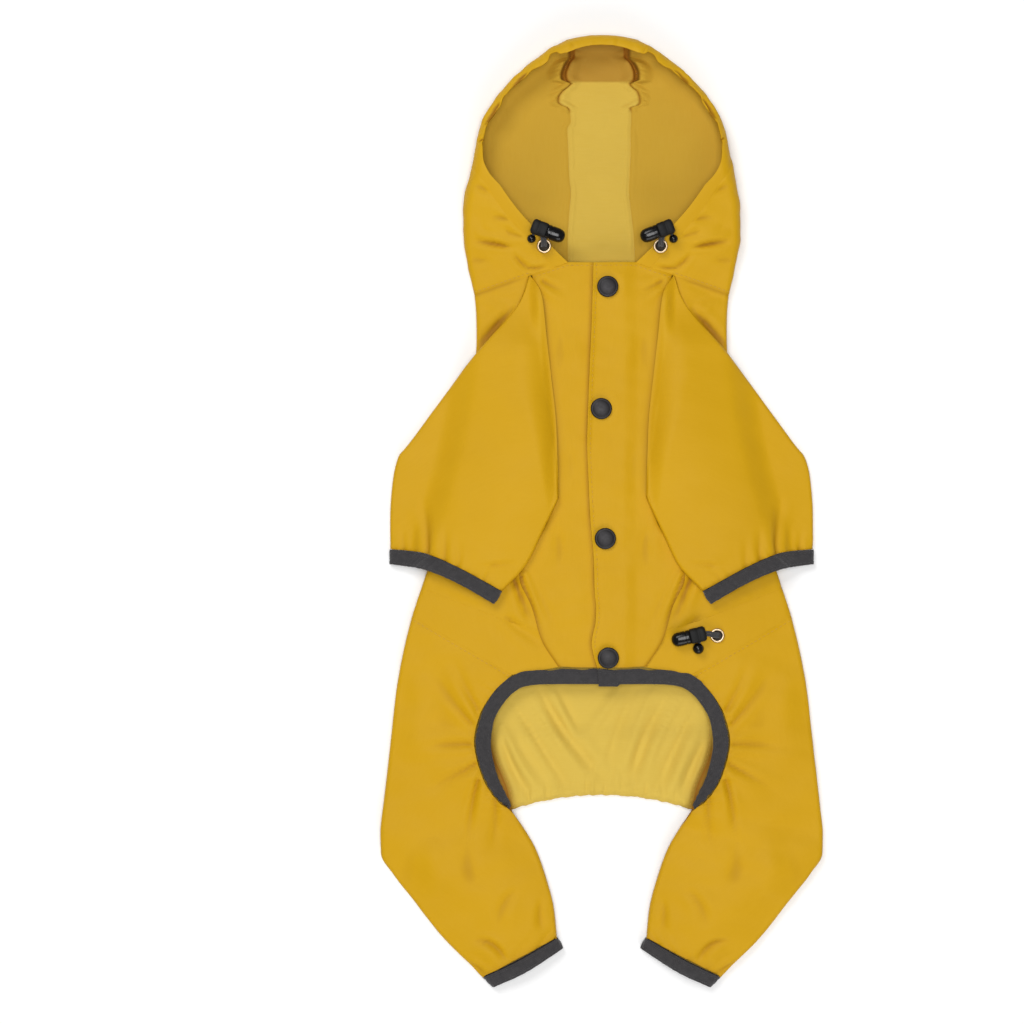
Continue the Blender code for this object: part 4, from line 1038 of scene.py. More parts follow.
def back_row(at, count, gathers=0.0):
    """A row round the body from the left belly-side edge over the back to the right one."""
    r = row_of(BACK, at)
    path = wrap((0, r["back_y"]), point(r, "fold"), [point(r, "via"), point(r, "edge")], ROLL, 0.0)
    on_front = (path[:, 2] >= FLOOR + 2 * ROLL - 1e-6)
    path[on_front, 2] = front_height(path[on_front, 0], path[on_front, 1])
    if gathers:
        across = path[:, 0] / (r["fold_x"] - 10)
        below = (path[:, 2] < FLOOR + 0.01) & (across < 1)
        ups = 1 - np.cos(2 * math.pi * WAIST_WAVES * across)
        path[below, 2] += gathers / 2 * ups[below]
    half = spread(trimmed(path, 0, GAP / 2), count)
    return np.vstack([mirrored(half)[:0:-1], half])


def belly_share(grid):
    """0 on the cloth that lies on the surface and 1 on the belly side."""
    return step(grid[..., 2], FLOOR + ROLL, FLOOR + 2 * ROLL)


def on_back(_, line):
    """Which points of a line lie on the coat's back."""
    return line[:, 2] < FLOOR + ROLL


def make_back():
    """The back panel, which wraps round both flanks onto the belly side."""
    places = np.linspace(1 + INSIDE_END, len(BACK["back_y"]) - 1 - INSIDE_END, BACK_ROWS)
    grid = np.array([back_row(at, BACK_POINTS) for at in places])
    share = belly_share(grid)
    x, y = grid[..., 0], grid[..., 1]
    start, end, first, final = edges(grid)
    side = np.minimum(start, end)
    held = step(first, 0, HELD) * step(final, 0, HELD)
    creases = folds(np.abs(x), y, BODY_FOLDS)
    amount = (creases * share * step(final, 0, HELD) + swell(x, y, 48, 0.55) * step(side, 0, 20) * held
              + (puckers(x, final, 7.0, 0.35, 7.0, 0.4)
                 + puckers(x, first, 8.0, 0.5, 9.0, 1.3)) * (1 - 0.8 * share)
              + (0.12 * seam_dip(final) + SOFT_SEAM * seam_dip(first)) * share + seam_dip(side))
    dressed = upward_only(grid, -1, amount, share)
    # Painted shade at the seams on the back, in the belly-side creases and along the neck seam, and painted
    # light on the side folds.
    grime = fade(side, 1.4) + (fade(first, 1.4) + fade(final, 1.4)) * (1 - share)
    grime += (2.2 * creased(creases) + 2.5 * neck_shade(x, final)) * share
    piece = cloth("back_panel", dressed, -1, ["back"], wear=bell(grid[..., 2] - FLOOR - ROLL, 2.0) * 0.8,
                  grime=grime * 0.4)
    sew("yellow", dressed, -1, {"first": 2.0, "last": 2.0}, shown=on_back)
    declare(piece, grid)


def make_waist_band():
    """The gathered band of the waist's drawcord channel, as far round as the back panel."""
    heights = table("at lift", ((0.002, 0.3), (0.5, 1.1), (0.998, 0.3)))
    grid = np.array([back_row(at, BAND_POINTS, float(smoothly(heights, "lift", at)))
                     for at in np.linspace(INSIDE_END, 1.0 + TUCK / 14.0, BAND_ROWS)])
    share = belly_share(grid)
    start, end, first, final = edges(grid)
    middle = np.sin(math.pi * np.clip(first / (first + final), 0, 1))
    gathered = 1 - 0.95 * share
    amount = (0.9 * middle * gathered + 0.5 * middle * waves(grid[..., 0], 5.2, 0.7) * gathered
              + (seam_dip(first) + seam_dip(final)) * (1 - (1 - SOFT_SEAM) * share)
              + seam_dip(np.minimum(start, end)) + tucked(final)
              + folds(np.abs(grid[..., 0]), grid[..., 1], BODY_FOLDS) * share)
    dressed = upward_only(grid, -1, amount, share)
    # Painted shade beside its seams on the back.
    piece = cloth("waist_band", dressed, -1, ["waist_channel"],
                  grime=0.3 * (fade(first, 1.5) + fade(final, 1.5)) * (1 - share))
    sew("yellow", dressed, -1, {"first": 1.6, "last": 1.6}, shown=on_back)
    declare(piece, grid)


def chest_row(at, start, lap):
    """A row of a chest panel from its free edge out to the seam with the back panel."""
    r = row_of(CHEST, at)
    line = plan_line([(start, r["y"]), point(r, "via"), point(r, "edge")])
    inner = step(line[:, 0], 30, 24)
    path = np.column_stack([line, chest_height(line[:, 0], line[:, 1], lap * inner)])
    return spread(trimmed(path, 0, GAP / 2), CHEST_POINTS)


def make_chest():
    """Both chest panels: the right one has the placket and the snaps' places on top of the left one."""
    right, left = [], []
    for at in np.linspace(INSIDE_END, len(CHEST["y"]) - 1 - INSIDE_END, CHEST_ROWS):
        start = float(smoothly(FREE_EDGE, "x", row_of(CHEST, at)["y"]))
        right.append(chest_row(at, start, PLACKET_LAP))
        left.append(chest_row(at, -PLACKET_END, 0.0))
    for (side, flip), grid in zip(SIDES, (np.array(right), np.array(left))):
        x, y = grid[..., 0], grid[..., 1]
        start, end, first, final = edges(grid)
        creases = folds(x, y, CHEST_FOLDS)
        shift = 0 if side == "right" else 30
        amount = ((creases + swell(x + shift, y, 40, 0.45) * step(end, 0, 14)) * step(final, 0, HELD)
                  + seam_dip(end) * 0.9 + seam_dip(final, 0.3, 0.8))
        # Painted shade at the seams and in the creases, beside the armhole and low on the side seam.
        grime = 0.3 * (fade(end, 1.6) + fade(first, 1.6)) + 0.8 * creased(creases)
        armhole = np.interp(y, *np.array(SLEEVE_ARMHOLE)[::-1, ::-1].T)
        grime += 0.3 * bell(np.maximum(armhole - x, 0), 2.5) * step(y, 0, 30) * step(y, 138, 124)
        grime += 0.5 * bell(end, 1.3) * step(y, -22, -40)
        insets, wear = {"last": 2.0}, 0.0
        if side == "left":
            # Painted shadow where the right panel's free edge shades the left one.
            grime += 0.5 * bell(x + smoothly(FREE_EDGE, "x", y) - 0.5, 1.2)
        else:
            curl = step(y, 20, 60) * step(y, 146, 120)
            amount += (0.3 + 0.7 * curl) * bell(start, 2.6)
            amount += 0.25 * bell(start, 0.9) - 0.2 * bell(start - 2.6, 0.8)
            for snap in SNAP_PLACES:
                d = np.hypot(x - snap[0], y - snap[1])
                amount -= 0.25 * bell(d, 7.5, 4) - 0.3 * bell(d - 9.5, 2.5)
            amount += 0.35 * waves(y, 23, 0.8) * fade(start, 7)
            # A painted highlight along the turned free edge.
            insets["start"], wear = 1.9, fade(start, 0.8)
        dressed = raised(grid, 1, amount)
        piece = cloth("chest_panel_" + side, dressed * (flip, 1, 1), flip, ["chest_" + side],
                      wear=wear, grime=grime)
        declare(piece, grid, rests_on=["back_panel"])
        sew("yellow", dressed, 1, insets, flip)


# ---- legs and seat -------------------------------------------------------------------------------


def leg_row(at):
    """A row of a leg from the seat seam or inseam, round the side fold and to its inner edge."""
    r = row_of(LEG, at)
    on_seat = r["seam_y"] > SEAT_SEAM["y"][0]
    seam_x = float(smoothly(SEAT_SEAM, "half_width", r["seam_y"])) if on_seat else r["seam_x"]
    path = wrap((seam_x, r["seam_y"]), point(r, "fold"), [point(r, "edge")], ROLL, r["rise"], r["closed"])
    return spread(trimmed(path, GAP / 2, GAP / 2), LEG_POINTS)


def make_legs(trims):
    """Both hind legs, with the cuff and the arch binding of each."""
    last = len(LEG["rise"]) - 1
    grid = np.array([leg_row(at) for at in np.linspace(INSIDE_END, last - INSIDE_END, LEG_ROWS)])
    share = belly_share(grid)
    x, y = grid[..., 0], grid[..., 1]
    start, end, first, final = edges(grid)
    along_hem = np.clip((LEG_HEM[0][0] - x) / (LEG_HEM[0][0] - LEG_HEM[-1][0]), 0, 1)
    grid[..., 1] -= (1.0 + 3.6 * along_hem * (1 - along_hem)) * (1 - share) * step(final, 12, 0)
    beside_arch = step(y, -184, -174) * share
    creases = folds(x, y, LEG_FOLDS)
    sides = []
    for lean in (0.3, 2.2):
        amount = ((creases * share + swell(x, y, 52, 0.8, lean)) * step(first, 0, HELD)
                  + puckers(first, end, 6.2, 0.5, 5.5, lean) * beside_arch
                  + puckers(0.84 * x + 0.54 * y, final, 6.4, 0.6, 6.0, lean + 1) * (0.3 + 0.7 * share)
                  + SOFT_SEAM * seam_dip(first) * share + tucked(first) + seam_dip(start)
                  + seam_dip(end) * (1 - beside_arch) - 0.35 * bell(final, 1.2))
        sides.append(upward_only(grid, 1, amount, share))
    # Painted shade at the borders and in the creases, a painted shadow on the lower layer under the arch, and
    # painted light on the side folds.
    grime = 0.3 * (fade(start, 1.5) + fade(first, 1.5) * (1 - share) + fade(final, 2.0)
                   + 0.5 * fade(end, 2.0)) + 0.45 * creased(creases) * share
    grime += 0.75 * bell(start, 7) * (1 - share) * step(y, -135, -148)
    pieces = both("leg_panel", sides, 1, ["leg_back", "leg_front"],
                  wear=bell(grid[..., 2] - FLOOR - ROLL, 1.8) * 0.7, grime=grime)
    for side, (_, flip) in zip(sides, SIDES):
        sew("yellow", side, 1, {"first": 1.9, "start": 1.8}, flip)
    for piece, trim in zip(pieces, trims):
        declare(piece, grid, with_pieces=trim)


def hem_depth(share):
    """How much of the seat's hem lies folded under, for a share of the half width."""
    return HEM_DEPTH + HEM_DEPTH_MORE * np.cos(math.pi / 2 * share) ** 0.8


def seat_column(share):
    """A column of the seat from the waist seam down to its fold and back under."""
    fold_y = SEAT_FOLD + SEAT_FOLD_DROP * share ** 2
    top = SEAT_TOP + SEAT_TOP_SLOPE * abs(share) * SEAT_SEAM["half_width"][-1] - GAP
    y = np.linspace(top, fold_y + HEM_ROLL, 120)
    half_width = smoothly(SEAT_SEAM, "half_width", y) - GAP / 2
    x = share * half_width
    parts = [np.column_stack([x, y, back_height(x, y)])]
    angle = np.linspace(math.pi / 2, -math.pi / 2, 20)
    rolled = fold_y + HEM_ROLL * (1 - np.cos(angle))
    parts.append(np.column_stack([np.full(20, x[-1]), rolled, FLOOR + HEM_ROLL * (1 + np.sin(angle))]))
    under = np.linspace(fold_y + HEM_ROLL, fold_y + HEM_ROLL + hem_depth(abs(share)), 24)
    parts.append(np.column_stack([np.full(24, x[-1]), under, np.full(24, FLOOR)]))
    return np.vstack(parts)


def make_seat():
    """The seat panel, with its gathers and its folded hem, and the binding on that hem."""
    shares = np.linspace(-0.9995, 0.9995, SEAT_COLUMNS)
    grid = np.array([spread(seat_column(share), SEAT_POINTS) for share in shares])
    x, y = grid[..., 0], grid[..., 1]
    start, end, first, final = edges(grid)
    side = np.minimum(first, final)
    under = hem_depth(np.abs(shares))[:, None]
    on_top = step(end, under + 2.0, under + 5.0)
    lift = folds(x, y, SEAT_FOLDS) + 1.5
    lift = np.maximum(lift, -0.1) * on_top * step(side, 0, 5) * step(start, 8, 40)
    lift += np.maximum(puckers(x, start, 6.5, 0.45, 9.0), 0)
    from_hem = end - under - HEM_ROLL
    lift += on_top * 0.5 * bell(from_hem - 4, 6) * (1 + waves(x, 7.0, 0.9))
    ruffled = 0.3 * waves(x, 9.5, 0.9) * bell(from_hem, 5)
    grid[..., 2] += lift
    grid[..., 1] += ruffled
    # Painted shadow on the seat's sides where the arch binding stands over them, and painted shade by its
    # borders.
    shade_under_arch = bell(side, 3.5) * step(y, -128, -146) * step(y, -186, -176)
    piece = cloth("seat_panel", grid, -1, ["seat"], (SHELL, INSIDE_PAINTED_LIGHT),
                  grime=0.3 * (fade(side, 1.5) + fade(start, 1.5)) + 0.6 * shade_under_arch)
    sew("yellow", grid, 1, {"first": 2.2, "last": 2.2})
    strip = []
    for share in np.linspace(-1, 1, TAIL_COLUMNS):
        hem = seat_column(share)[-1]
        width = 1.5 + 7.5 * math.sqrt(max(0.0, math.cos(math.pi / 2 * share)))
        strip.append([(hem[0], hem[1] + GAP + width * t, BINDING_WALL / 2 + 0.12 * math.sin(math.pi * t))
                      for t in np.linspace(0, 1, TAIL_POINTS)])
    strip = np.array(strip)
    strip[..., 2] += 0.1 * waves(strip[..., 0], 4.0)
    hem = cloth("tail_hem_binding", strip, -1, ["tail_binding"], (BINDING,), "binding", TAIL_WALL)
    declare(piece, grid, with_pieces=[hem])


def arch_grid(start):
    """The binding round one side of the belly arch, from a place beside the placket to the crotch."""
    last = len(ARCH["height"]) - 1
    grid = []
    for at in np.linspace(start / 20.0, last, ARCH_ROWS):
        r = row_of(ARCH, max(at, 0.0))
        outer, inner = point(r, "outer"), point(r, "inner")
        shift = min(at, 0.0) * 20.0
        grid.append([(*(outer + (inner - outer) * t + (shift, 0)), r["height"] - ARCH_DIP * t ** 2)
                     for t in np.linspace(*ARCH_BORDERS, ARCH_POINTS)])
    return np.array(grid)


def make_arch():
    """Both halves of the belly arch's binding, the right one on top beside the placket."""
    pieces = []
    for (name, flip), begin, lap in zip(SIDES, (ARCH_START_RIGHT, ARCH_START_LEFT), (ARCH_LAP, 0.0)):
        grid = arch_grid(begin)
        grid[..., 2] += lap * (1 - step(grid[..., 0], PLACKET_END + 2, PLACKET_END + 14))
        start, end, first, _ = edges(grid)
        t = start / (start + end)
        amount = (0.45 * np.sin(math.pi * t) ** 0.5 - 0.3
                  + puckers(first, start, 4.6, 0.35, 9.0, begin) * (0.35 + 0.65 * step(first, 60, 80))
                  - 0.18 * bell(start - 1.7, 0.5) - 0.15 * bell(end - 1.7, 0.5))
        dressed = raised(grid, 1, amount)
        dressed[..., 1] += 0.45 * waves(first, 24.0, begin) * bell(start, 3.5)
        if name == "right":
            dressed[..., 1] -= 1.4 * t * step(dressed[..., 0], 10.6, 9.6)
        pieces.append(cloth("arch_edge_" + name, dressed * (flip, 1, 1), flip, ["arch_binding_" + name],
                            (BINDING,), "binding", ARCH_WALL))
        sew("dark", dressed, 1, {"start": 1.7, "end": 1.7}, flip, ARCH_SEAM_LIFT, **BINDING_STITCH)
    return pieces


# ---- sleeves and cuffs ---------------------------------------------------------------------------


def even(points, share):
    """Points at given shares of the length of a smooth curve."""
    path = spline(points)
    along = lengths_along(path)
    return pick(path, along, np.atleast_1d(share) * along[-1])


def sleeve_place(across, down):
    """Plan point of a sleeve: across from its outer to its under fold, down from armhole to hem."""
    across, down = np.asarray(across, float)[:, None], np.asarray(down, float)[:, None]
    outer, under = even(SLEEVE_OUTER, down[:, 0]), even(SLEEVE_UNDER, down[:, 0])
    top, hem = even(SLEEVE_ARMHOLE, across[:, 0]), even(SLEEVE_HEM, across[:, 0])
    corners = ((1 - across) * (1 - down) * SLEEVE_ARMHOLE[0] + across * (1 - down) * SLEEVE_ARMHOLE[-1]
               + (1 - across) * down * SLEEVE_HEM[0] + across * down * SLEEVE_HEM[-1])
    return (1 - across) * outer + across * under + (1 - down) * top + down * hem - corners


def tube_row(place, down, cutout, base, roll, loft, count):
    """A closed row round a flattened tube: lower layer, under fold, upper layer, outer fold."""
    shares = np.linspace(0, 1, 120)
    upper = place(shares, np.full(120, down))
    along = lengths_along(upper)
    lower_down = cutout * np.sin(math.pi * shares)
    lower = place(shares, lower_down + (1 - lower_down) * down)
    lower_along = lengths_along(lower)
    angle = np.linspace(-math.pi / 2, math.pi / 2, 28)
    reach = roll * (1 - np.cos(angle))

    def ground(xy):
        return base(xy[:, 0], xy[:, 1])

    flat = pick(lower, lower_along, np.linspace(roll, lower_along[-1] - roll, 120))
    parts = [np.column_stack([flat, ground(flat)])]
    under = pick(upper, along, along[-1] - reach)
    parts.append(np.column_stack([under, ground(under) + roll * (1 + np.sin(angle))]))
    inward = np.linspace(along[-1] - roll, roll, 120)
    top = pick(upper, along, inward)
    arc = np.sin(math.pi * (inward - roll) / (along[-1] - 2 * roll))
    settled = 1 - (cutout > 0) * np.sqrt(np.clip(arc, 0, 1)) * (1 - step(down, 0, 0.22))
    parts.append(np.column_stack([top, ground(top) + (2 * roll + loft * arc) * settled]))
    outer = pick(upper, along, reach[::-1])
    parts.append(np.column_stack([outer, ground(outer) + roll * (1 - np.sin(angle))]))
    path = np.vstack(parts)
    return spread(np.vstack([path, path[:1]]), count + 1)[:-1]


def between(start, end):
    """Plan points of a short tube between two edge lines."""
    def place(across, down):
        down = np.asarray(down, float)[:, None]
        return even(start, across) * (1 - down) + even(end, across) * down
    return place


def upper_share(grid, base):
    """1 on the upper layer of a flattened tube and 0 on the lower one."""
    over = grid[..., 2] - base(grid[..., 0], grid[..., 1])
    return step(over, SLEEVE_ROLL * 0.8, SLEEVE_ROLL * 1.8)


def make_sleeves():
    """Both sleeves, whose heads lie down on the coat and whose tubes end in elastic cuffs."""
    places = np.linspace(0, 0.999, SLEEVE_ROWS)
    grid = np.array([tube_row(sleeve_place, at, ARMHOLE_DEPTH, sleeve_floor, SLEEVE_ROLL,
                              SLEEVE_LOFT * (1 - SLEEVE_FLATTER * at), SLEEVE_POINTS) for at in places])
    share = upper_share(grid, sleeve_floor)
    x, y = grid[..., 0], grid[..., 1]
    down = distances(grid, 0)
    left_over = down[-1:] - down
    creases = folds(x, y, SLEEVE_FOLDS)
    coat = front_height(x, y) + CLOTH + 0.2
    sides = []
    for lean in (0.2, 1.7):
        amount = (swell(x, y, 60, 0.4, lean) * share + share * creases
                  + puckers(0.94 * x + 0.35 * y, left_over, 7.5, 0.3, 5.0, lean) - 0.4 * bell(left_over, 1.3))
        amount = np.where(share > 0.01, amount, np.clip(amount, -0.15, 0.15))
        dressed = raised(grid, -1, amount, ring=True)
        dressed[..., 2] -= 1.9 * (step(places, 0.03, 0.0)[:, None] * share)
        over = dressed[..., 2] - coat
        settled = (0.9 + 0.07 * step(y, 116, 130)) * step(y, 98, 124) * step(x, 36, 44) * (over > 0)
        dressed[..., 2] -= over * settled
        sides.append(dressed)
    # Painted shade at the armhole, by the hem and in the creases, and painted light on the side folds.
    grime = 0.15 * fade(down, 2.5) + 0.3 * fade(left_over, 1.4) + 0.5 * creased(creases) * share
    wear = 0.6 * bell(share - 0.5, 0.35)
    pieces = both("sleeve_panel", sides, -1, ["sleeve"], ring=True, grime=grime, wear=wear)

    def cuff_floor(x, y):
        return sleeve_floor(x, y) + (BINDING_WALL - WALL) / 2

    lofts = table("at loft", ((0.0, 3.0), (0.5, 3.4), (1.0, 2.4)))
    cuffs = make_cuffs("sleeve_cuff", between(SLEEVE_HEM, SLEEVE_CUFF), cuff_floor, SLEEVE_ROLL, lofts,
                       SLEEVE_CUFF_POINTS)
    for (name, _), piece, cuff in zip(SIDES, pieces, cuffs):
        declare(piece, grid, ring=True, rests_on=["floor", "chest_panel_" + name], with_pieces=[cuff])


def make_cuffs(name, place, base, roll, lofts, count):
    """Elastic cuffs: crowned bands with the ripple of their elastic and two rows of stitches."""
    places = np.linspace(*CUFF_BORDERS, CUFF_ROWS)
    grid = np.array([tube_row(place, at, 0.0, base, roll, float(smoothly(lofts, "loft", at)), count)
                     for at in places])
    along, down = distances(grid, 1), distances(grid, 0)
    crown = np.sin(math.pi * places[:, None])
    ripple = 0.16 * waves(along, 3.1, 0.5) + 0.2 * waves(along, 7.7, 1.5)
    amount = 0.3 * crown ** 0.5 - 0.15 + ripple * (0.4 + 0.6 * crown) - 0.15 * bell(down - 1.6, 0.5)
    amount = np.where(grid[..., 2] < 1.2, np.minimum(amount, 0.0) * 0.3, amount)
    dressed = raised(grid, -1, amount, ring=True)
    pieces = both(name + "_band", (dressed, dressed), -1, [name], (BINDING,), "binding", CUFF_WALL, ring=True)
    normal = normals_of(dressed, -1, ring=True)
    for border, inset in (("first", 1.6), ("last", 1.5)):
        line, up = (np.vstack([v, v[:1]]) for v in seam_line(dressed, normal, border, inset, CUFF_SEAM_LIFT))
        for _, flip in SIDES:
            stitch("dark", line * (flip, 1, 1), up * (flip, 1, 1), **BINDING_STITCH)
    return pieces


def make_leg_cuffs():
    """The cuffs of the hind legs, which lie flat on the surface."""
    def flat(x, _):
        return np.full(np.shape(x), BINDING_WALL / 2)

    lofts = table("at loft", ((0.0, 2.4), (0.5, 2.8), (1.0, 2.0)))
    return make_cuffs("leg_cuff", between(LEG_HEM, LEG_CUFF), flat, ROLL - 0.3, lofts, LEG_CUFF_POINTS)


# ---- hood ----------------------------------------------------------------------------------------


def hood_path(at):
    """A row of a hood side panel as far as the edge of the face opening."""
    r = row_of(HOOD, at)
    seam_x = float(smoothly(HOOD_SEAM, "half_width", r["seam_y"])) + GAP / 2
    fold, edge = point(r, "fold"), point(r, "edge")
    if at > RIM["at"][0]:
        edge = fold + towards(fold, edge) * float(smoothly(RIM, "width", at))
    path = wrap((seam_x, r["seam_y"]), fold, [edge], r["roll"], r["rise"])
    path[:, 2] += float(smoothly(RIM, "up", at)) * step(path[:, 2], 4, 16)
    return path


def brow_path(share):
    """A column of the centre panel from the neck seam over the back of the head to the brow."""
    fold_y, edge_y = BROW_FOLD - 3.0 * share ** 2, BROW_EDGE - 4.9 * share ** 2
    path = wrap((0, HOOD["seam_y"][0] + GAP / 2), (0, fold_y), [(0, edge_y)], HOOD["roll"][-1], 0.0)
    path[:, 0] = share * (smoothly(HOOD_SEAM, "half_width", path[:, 1]) - GAP / 2)
    return path


def panel_part(path, count):
    """The stretch of a hood's row that its panel covers, as far as under the casing."""
    return spread(trimmed(path, 0, CASING_WIDTH - TUCK), count)


def casing_part(path, count=13):
    """The last stretch of a hood's row, which the casing covers."""
    along = lengths_along(path)
    return pick(path, along, along[-1] - np.linspace(1, 0, count) * CASING_WIDTH)


def neck_shade(x, from_seam):
    """The shade along the neck seam on the belly side, beside the sleeve's head."""
    return 0.45 * bell(from_seam, 1.4) * step(np.abs(x), 44, 56)


def seam_place(grid):
    """Half width at which the centre panel's gathered seam lies, at each point of a grid."""
    right, left = (smoothly(SEAM_LINE, side, grid[..., 1]) for side in ("right", "left"))
    return np.where(grid[..., 0] > 0, right, left)


def pull_seams(grid):
    """Moves the cloth beside the centre panel's seams aside as their gathers do."""
    x, y, z = grid[..., 0], grid[..., 1], grid[..., 2]
    near = bell(np.abs(x) - 20.5, 6.5) * step(z, 8, 4)
    pull = seam_place(grid) - smoothly(HOOD_SEAM, "half_width", y)
    grid[..., 0] += np.sign(x) * pull * near
    return grid


def seam_relief(grid):
    """How the cloth stands up beside the centre panel's seams, and how deep in shade they lie.

    Low on the head the turned seam allowance makes a narrow ridge. Near the brow the gathers stand
    up on both sides of a kinked trough, which opens into a deep crescent under the brow.
    """
    y = grid[..., 1]
    d = np.abs(np.abs(grid[..., 0]) - seam_place(grid))
    kinked = step(y, 240, 244) * step(y, 260.5, 258.5)
    crescent = step(y, 258.5, 260.5)
    plain = 1 - np.maximum(kinked, crescent)
    ridge = 0.5 * plain * bell(d - 2.2, 1.1)
    lift = 1.3 * kinked * (1 - bell(d, 0.9)) * step(d, 8, 2)
    lift += 3.4 * crescent * (1 - bell(d, 1.7, 4)) * step(d, 11, 3) * step(y, 276, 270)
    tucks = 0.5 * (kinked + crescent) * bell(d, 5.5) * waves(y + 0.4 * d, 6.0, 0.6)
    shade = bell(d, 0.8) * (0.1 * plain + 0.9 * kinked) + crescent * bell(d, 2.2, 4)
    low = step(grid[..., 2], 15, 9)
    return (ridge + lift + tucks) * low, shade * low


def make_hood_sides(places, rows):
    """Both side panels, each with its grid."""
    grid = np.array([panel_part(row, HOOD_POINTS) for row in rows])
    start, end, first, _ = edges(grid)
    share, high = belly_share(grid), step(grid[..., 2], 7, 15)
    lower = step(places, 6.2, 4.2)[:, None]
    held = step(first, 0, HELD) * step(end, 0, HELD)
    panels = []
    for (name, flip), lean in zip(SIDES, (0.4, 1.9)):
        base = pull_seams(grid * (flip, 1, 1))
        relief, shade = seam_relief(base)
        lying = step(base[..., 2], 2.4, 1.4) * step(first, 0, 12)
        base[..., 2] += np.maximum(relief + 0.5 * swell(base[..., 0], base[..., 1], 44, 1.0, lean), 0) * lying
        base *= (flip, 1, 1)
        x, y = base[..., 0], base[..., 1]
        creases = 1.35 * folds(x, y, HOOD_FOLDS) * lower * share * held
        amount = (creases + swell(x, y, 36, 0.5, lean) * share * held
                  + 0.3 * waves(first, 11.0, lean) * high * step(first, 60, 90) * step(end, 0, HELD)
                  + 0.08 * seam_dip(first) * share + tucked(first) + tucked(end)
                  + seam_dip(end, 0.3, 0.8) * (1 - lower))
        side = raised(base, -1, amount)
        # Painted shade at the borders, in the creases and along the neck seam, and painted light high on the
        # wall under the rim, which would lie in shade.
        grime = 0.3 * fade(start, 1.5) * high + 0.3 * fade(end, 1.5) * (1 - lower) + 0.8 * creased(creases)
        piece = cloth("hood_side_panel_" + name, side * (flip, 1, 1), -flip, ["hood_side_" + name],
                      (SHELL, INSIDE_PAINTED_SHADE), grime=grime + neck_shade(x, first) * share, inner_shade=shade,
                      wear=0.6 * high)
        sew("yellow", side, -1, {"end": 1.2, "first": 2.0}, flip, spacing=2.7,
            shown=lambda border, _: slice(0, -10) if border == "first" else places > 5)
        panels.append((piece, side))
    return panels


def make_hood_centre(columns):
    """The centre panel with its grid, whose facing stands up under the brow."""
    grid = np.array([panel_part(column, BROW_POINTS) for column in columns])
    start, end, _, _ = edges(grid)
    grid = pull_seams(grid)
    relief, shade = seam_relief(grid)
    x, y = grid[..., 0], grid[..., 1]
    facing = step(y, 259.2, 260.2) * step(seam_place(grid) - np.abs(x), 1.0, 2.0) * step(grid[..., 2], 16, 10)
    rise = np.maximum(relief + 0.4 * swell(x, y, 30, 1.0, 1.1) + 0.9 * facing, 0)
    grid[..., 2] += rise * step(start, 0, 10) * step(end, 3, 20)
    # The facing is darker through the inner shade: partly its own darker tone and partly painted shadow under
    # the brow.
    return cloth("hood_centre_panel", grid, -1, ["hood_centre"], inner_shade=shade + 0.6 * facing), grid


def make_casing(rows, columns):
    """The drawcord's casing round the face opening, gathered where the cord draws it in."""
    right = np.array([casing_part(row) for row in rows[:-1]])
    middle = np.array([casing_part(column) for column in columns[::2]])
    grid = np.vstack([right, middle, mirrored(right)[::-1]])
    start, end, first, _ = edges(grid)
    along = first[:, -1:]
    t = start / (start + end)
    drawn = step(along, 70, 110) * step(along[-1] - along, 70, 110)
    relief = folds(grid[..., 0], grid[..., 1], RIM_FOLDS) * (grid[..., 2] > ROLL * 3) * step(t, 0.25, 0.6)
    amount = ((0.1 + 0.4 * drawn) * np.sin(math.pi * np.clip(t, 0, 1)) ** 1.2 + relief
              + 0.1 * waves(along, 6.4, 0.3) * drawn * t + 0.2 * waves(along, 17.0, 1.3) * drawn)
    # Painted light lightens the drawn rim and the casing's edge; painted shade darkens the creases on the rim's
    # inner edge and beside its seam.
    return cloth("hood_casing_hem", raised(grid, -1, amount), -1, ["hood_casing"], wall=CASING_HEM_WALL,
                 wear=fade(end, 1.5) * (1 - drawn) + 0.8 * drawn,
                 grime=0.1 * drawn * fade(start, 1.2) + 1.8 * creased(relief))


def make_hood():
    """The hood: its side panels, its centre panel and the casing round its face opening."""
    last = len(HOOD["roll"]) - 1
    places = np.concatenate([np.linspace(INSIDE_END, 5.2, HOOD_NECK_ROWS),
                             np.linspace(5.26, last, HOOD_RIM_ROWS)])
    rows = [hood_path(at) for at in places]
    columns = [brow_path(share) for share in np.linspace(1, -1, BROW_COLUMNS)]
    panels = [*make_hood_sides(places, rows), make_hood_centre(columns)]
    hem = make_casing(rows, columns)
    declare(*panels[0], with_pieces=[hem])
    for panel in panels[1:]:
        declare(*panel)


def make_flap():
    """The leash flap under the back, with a row of sewing that stands up round its border."""
    x = np.linspace(-FLAP_SIZE[0] / 2, FLAP_SIZE[0] / 2, 60)
    y = np.linspace(FLAP_TOP - FLAP_SIZE[1], FLAP_TOP, 46)
    grid = np.array([[(across, along, FLOOR - 0.1) for across in x] for along in y])
    side = np.minimum.reduce(edges(grid))
    grid[..., 2] += 0.12 * bell(side - 2.2, 0.7)
    declare(cloth("leash_flap_panel", grid, -1, ["leash_flap"], wall=FLAP_WALL, wear=fade(side, 0.8)), grid)


# ---- hardware ------------------------------------------------------------------------------------


def hood_top(x, y, reach):
    """Highest point of the casing's upper face within reach of a plan point."""
    rows = np.vstack([casing_part(hood_path(at), 3) for at in np.linspace(0, 4, 33)])
    near = np.hypot(rows[:, 0] - abs(x), rows[:, 1] - y) < reach
    return rows[near, 2].max() + CASING_WALL / 2


def cloth_top(name, x, y, reach):
    """Height of the cloth's upper face under a piece of hardware."""
    if name.startswith("hood"):
        return hood_top(x, y, reach)
    return float(front_height(x, y)) + WALL / 2


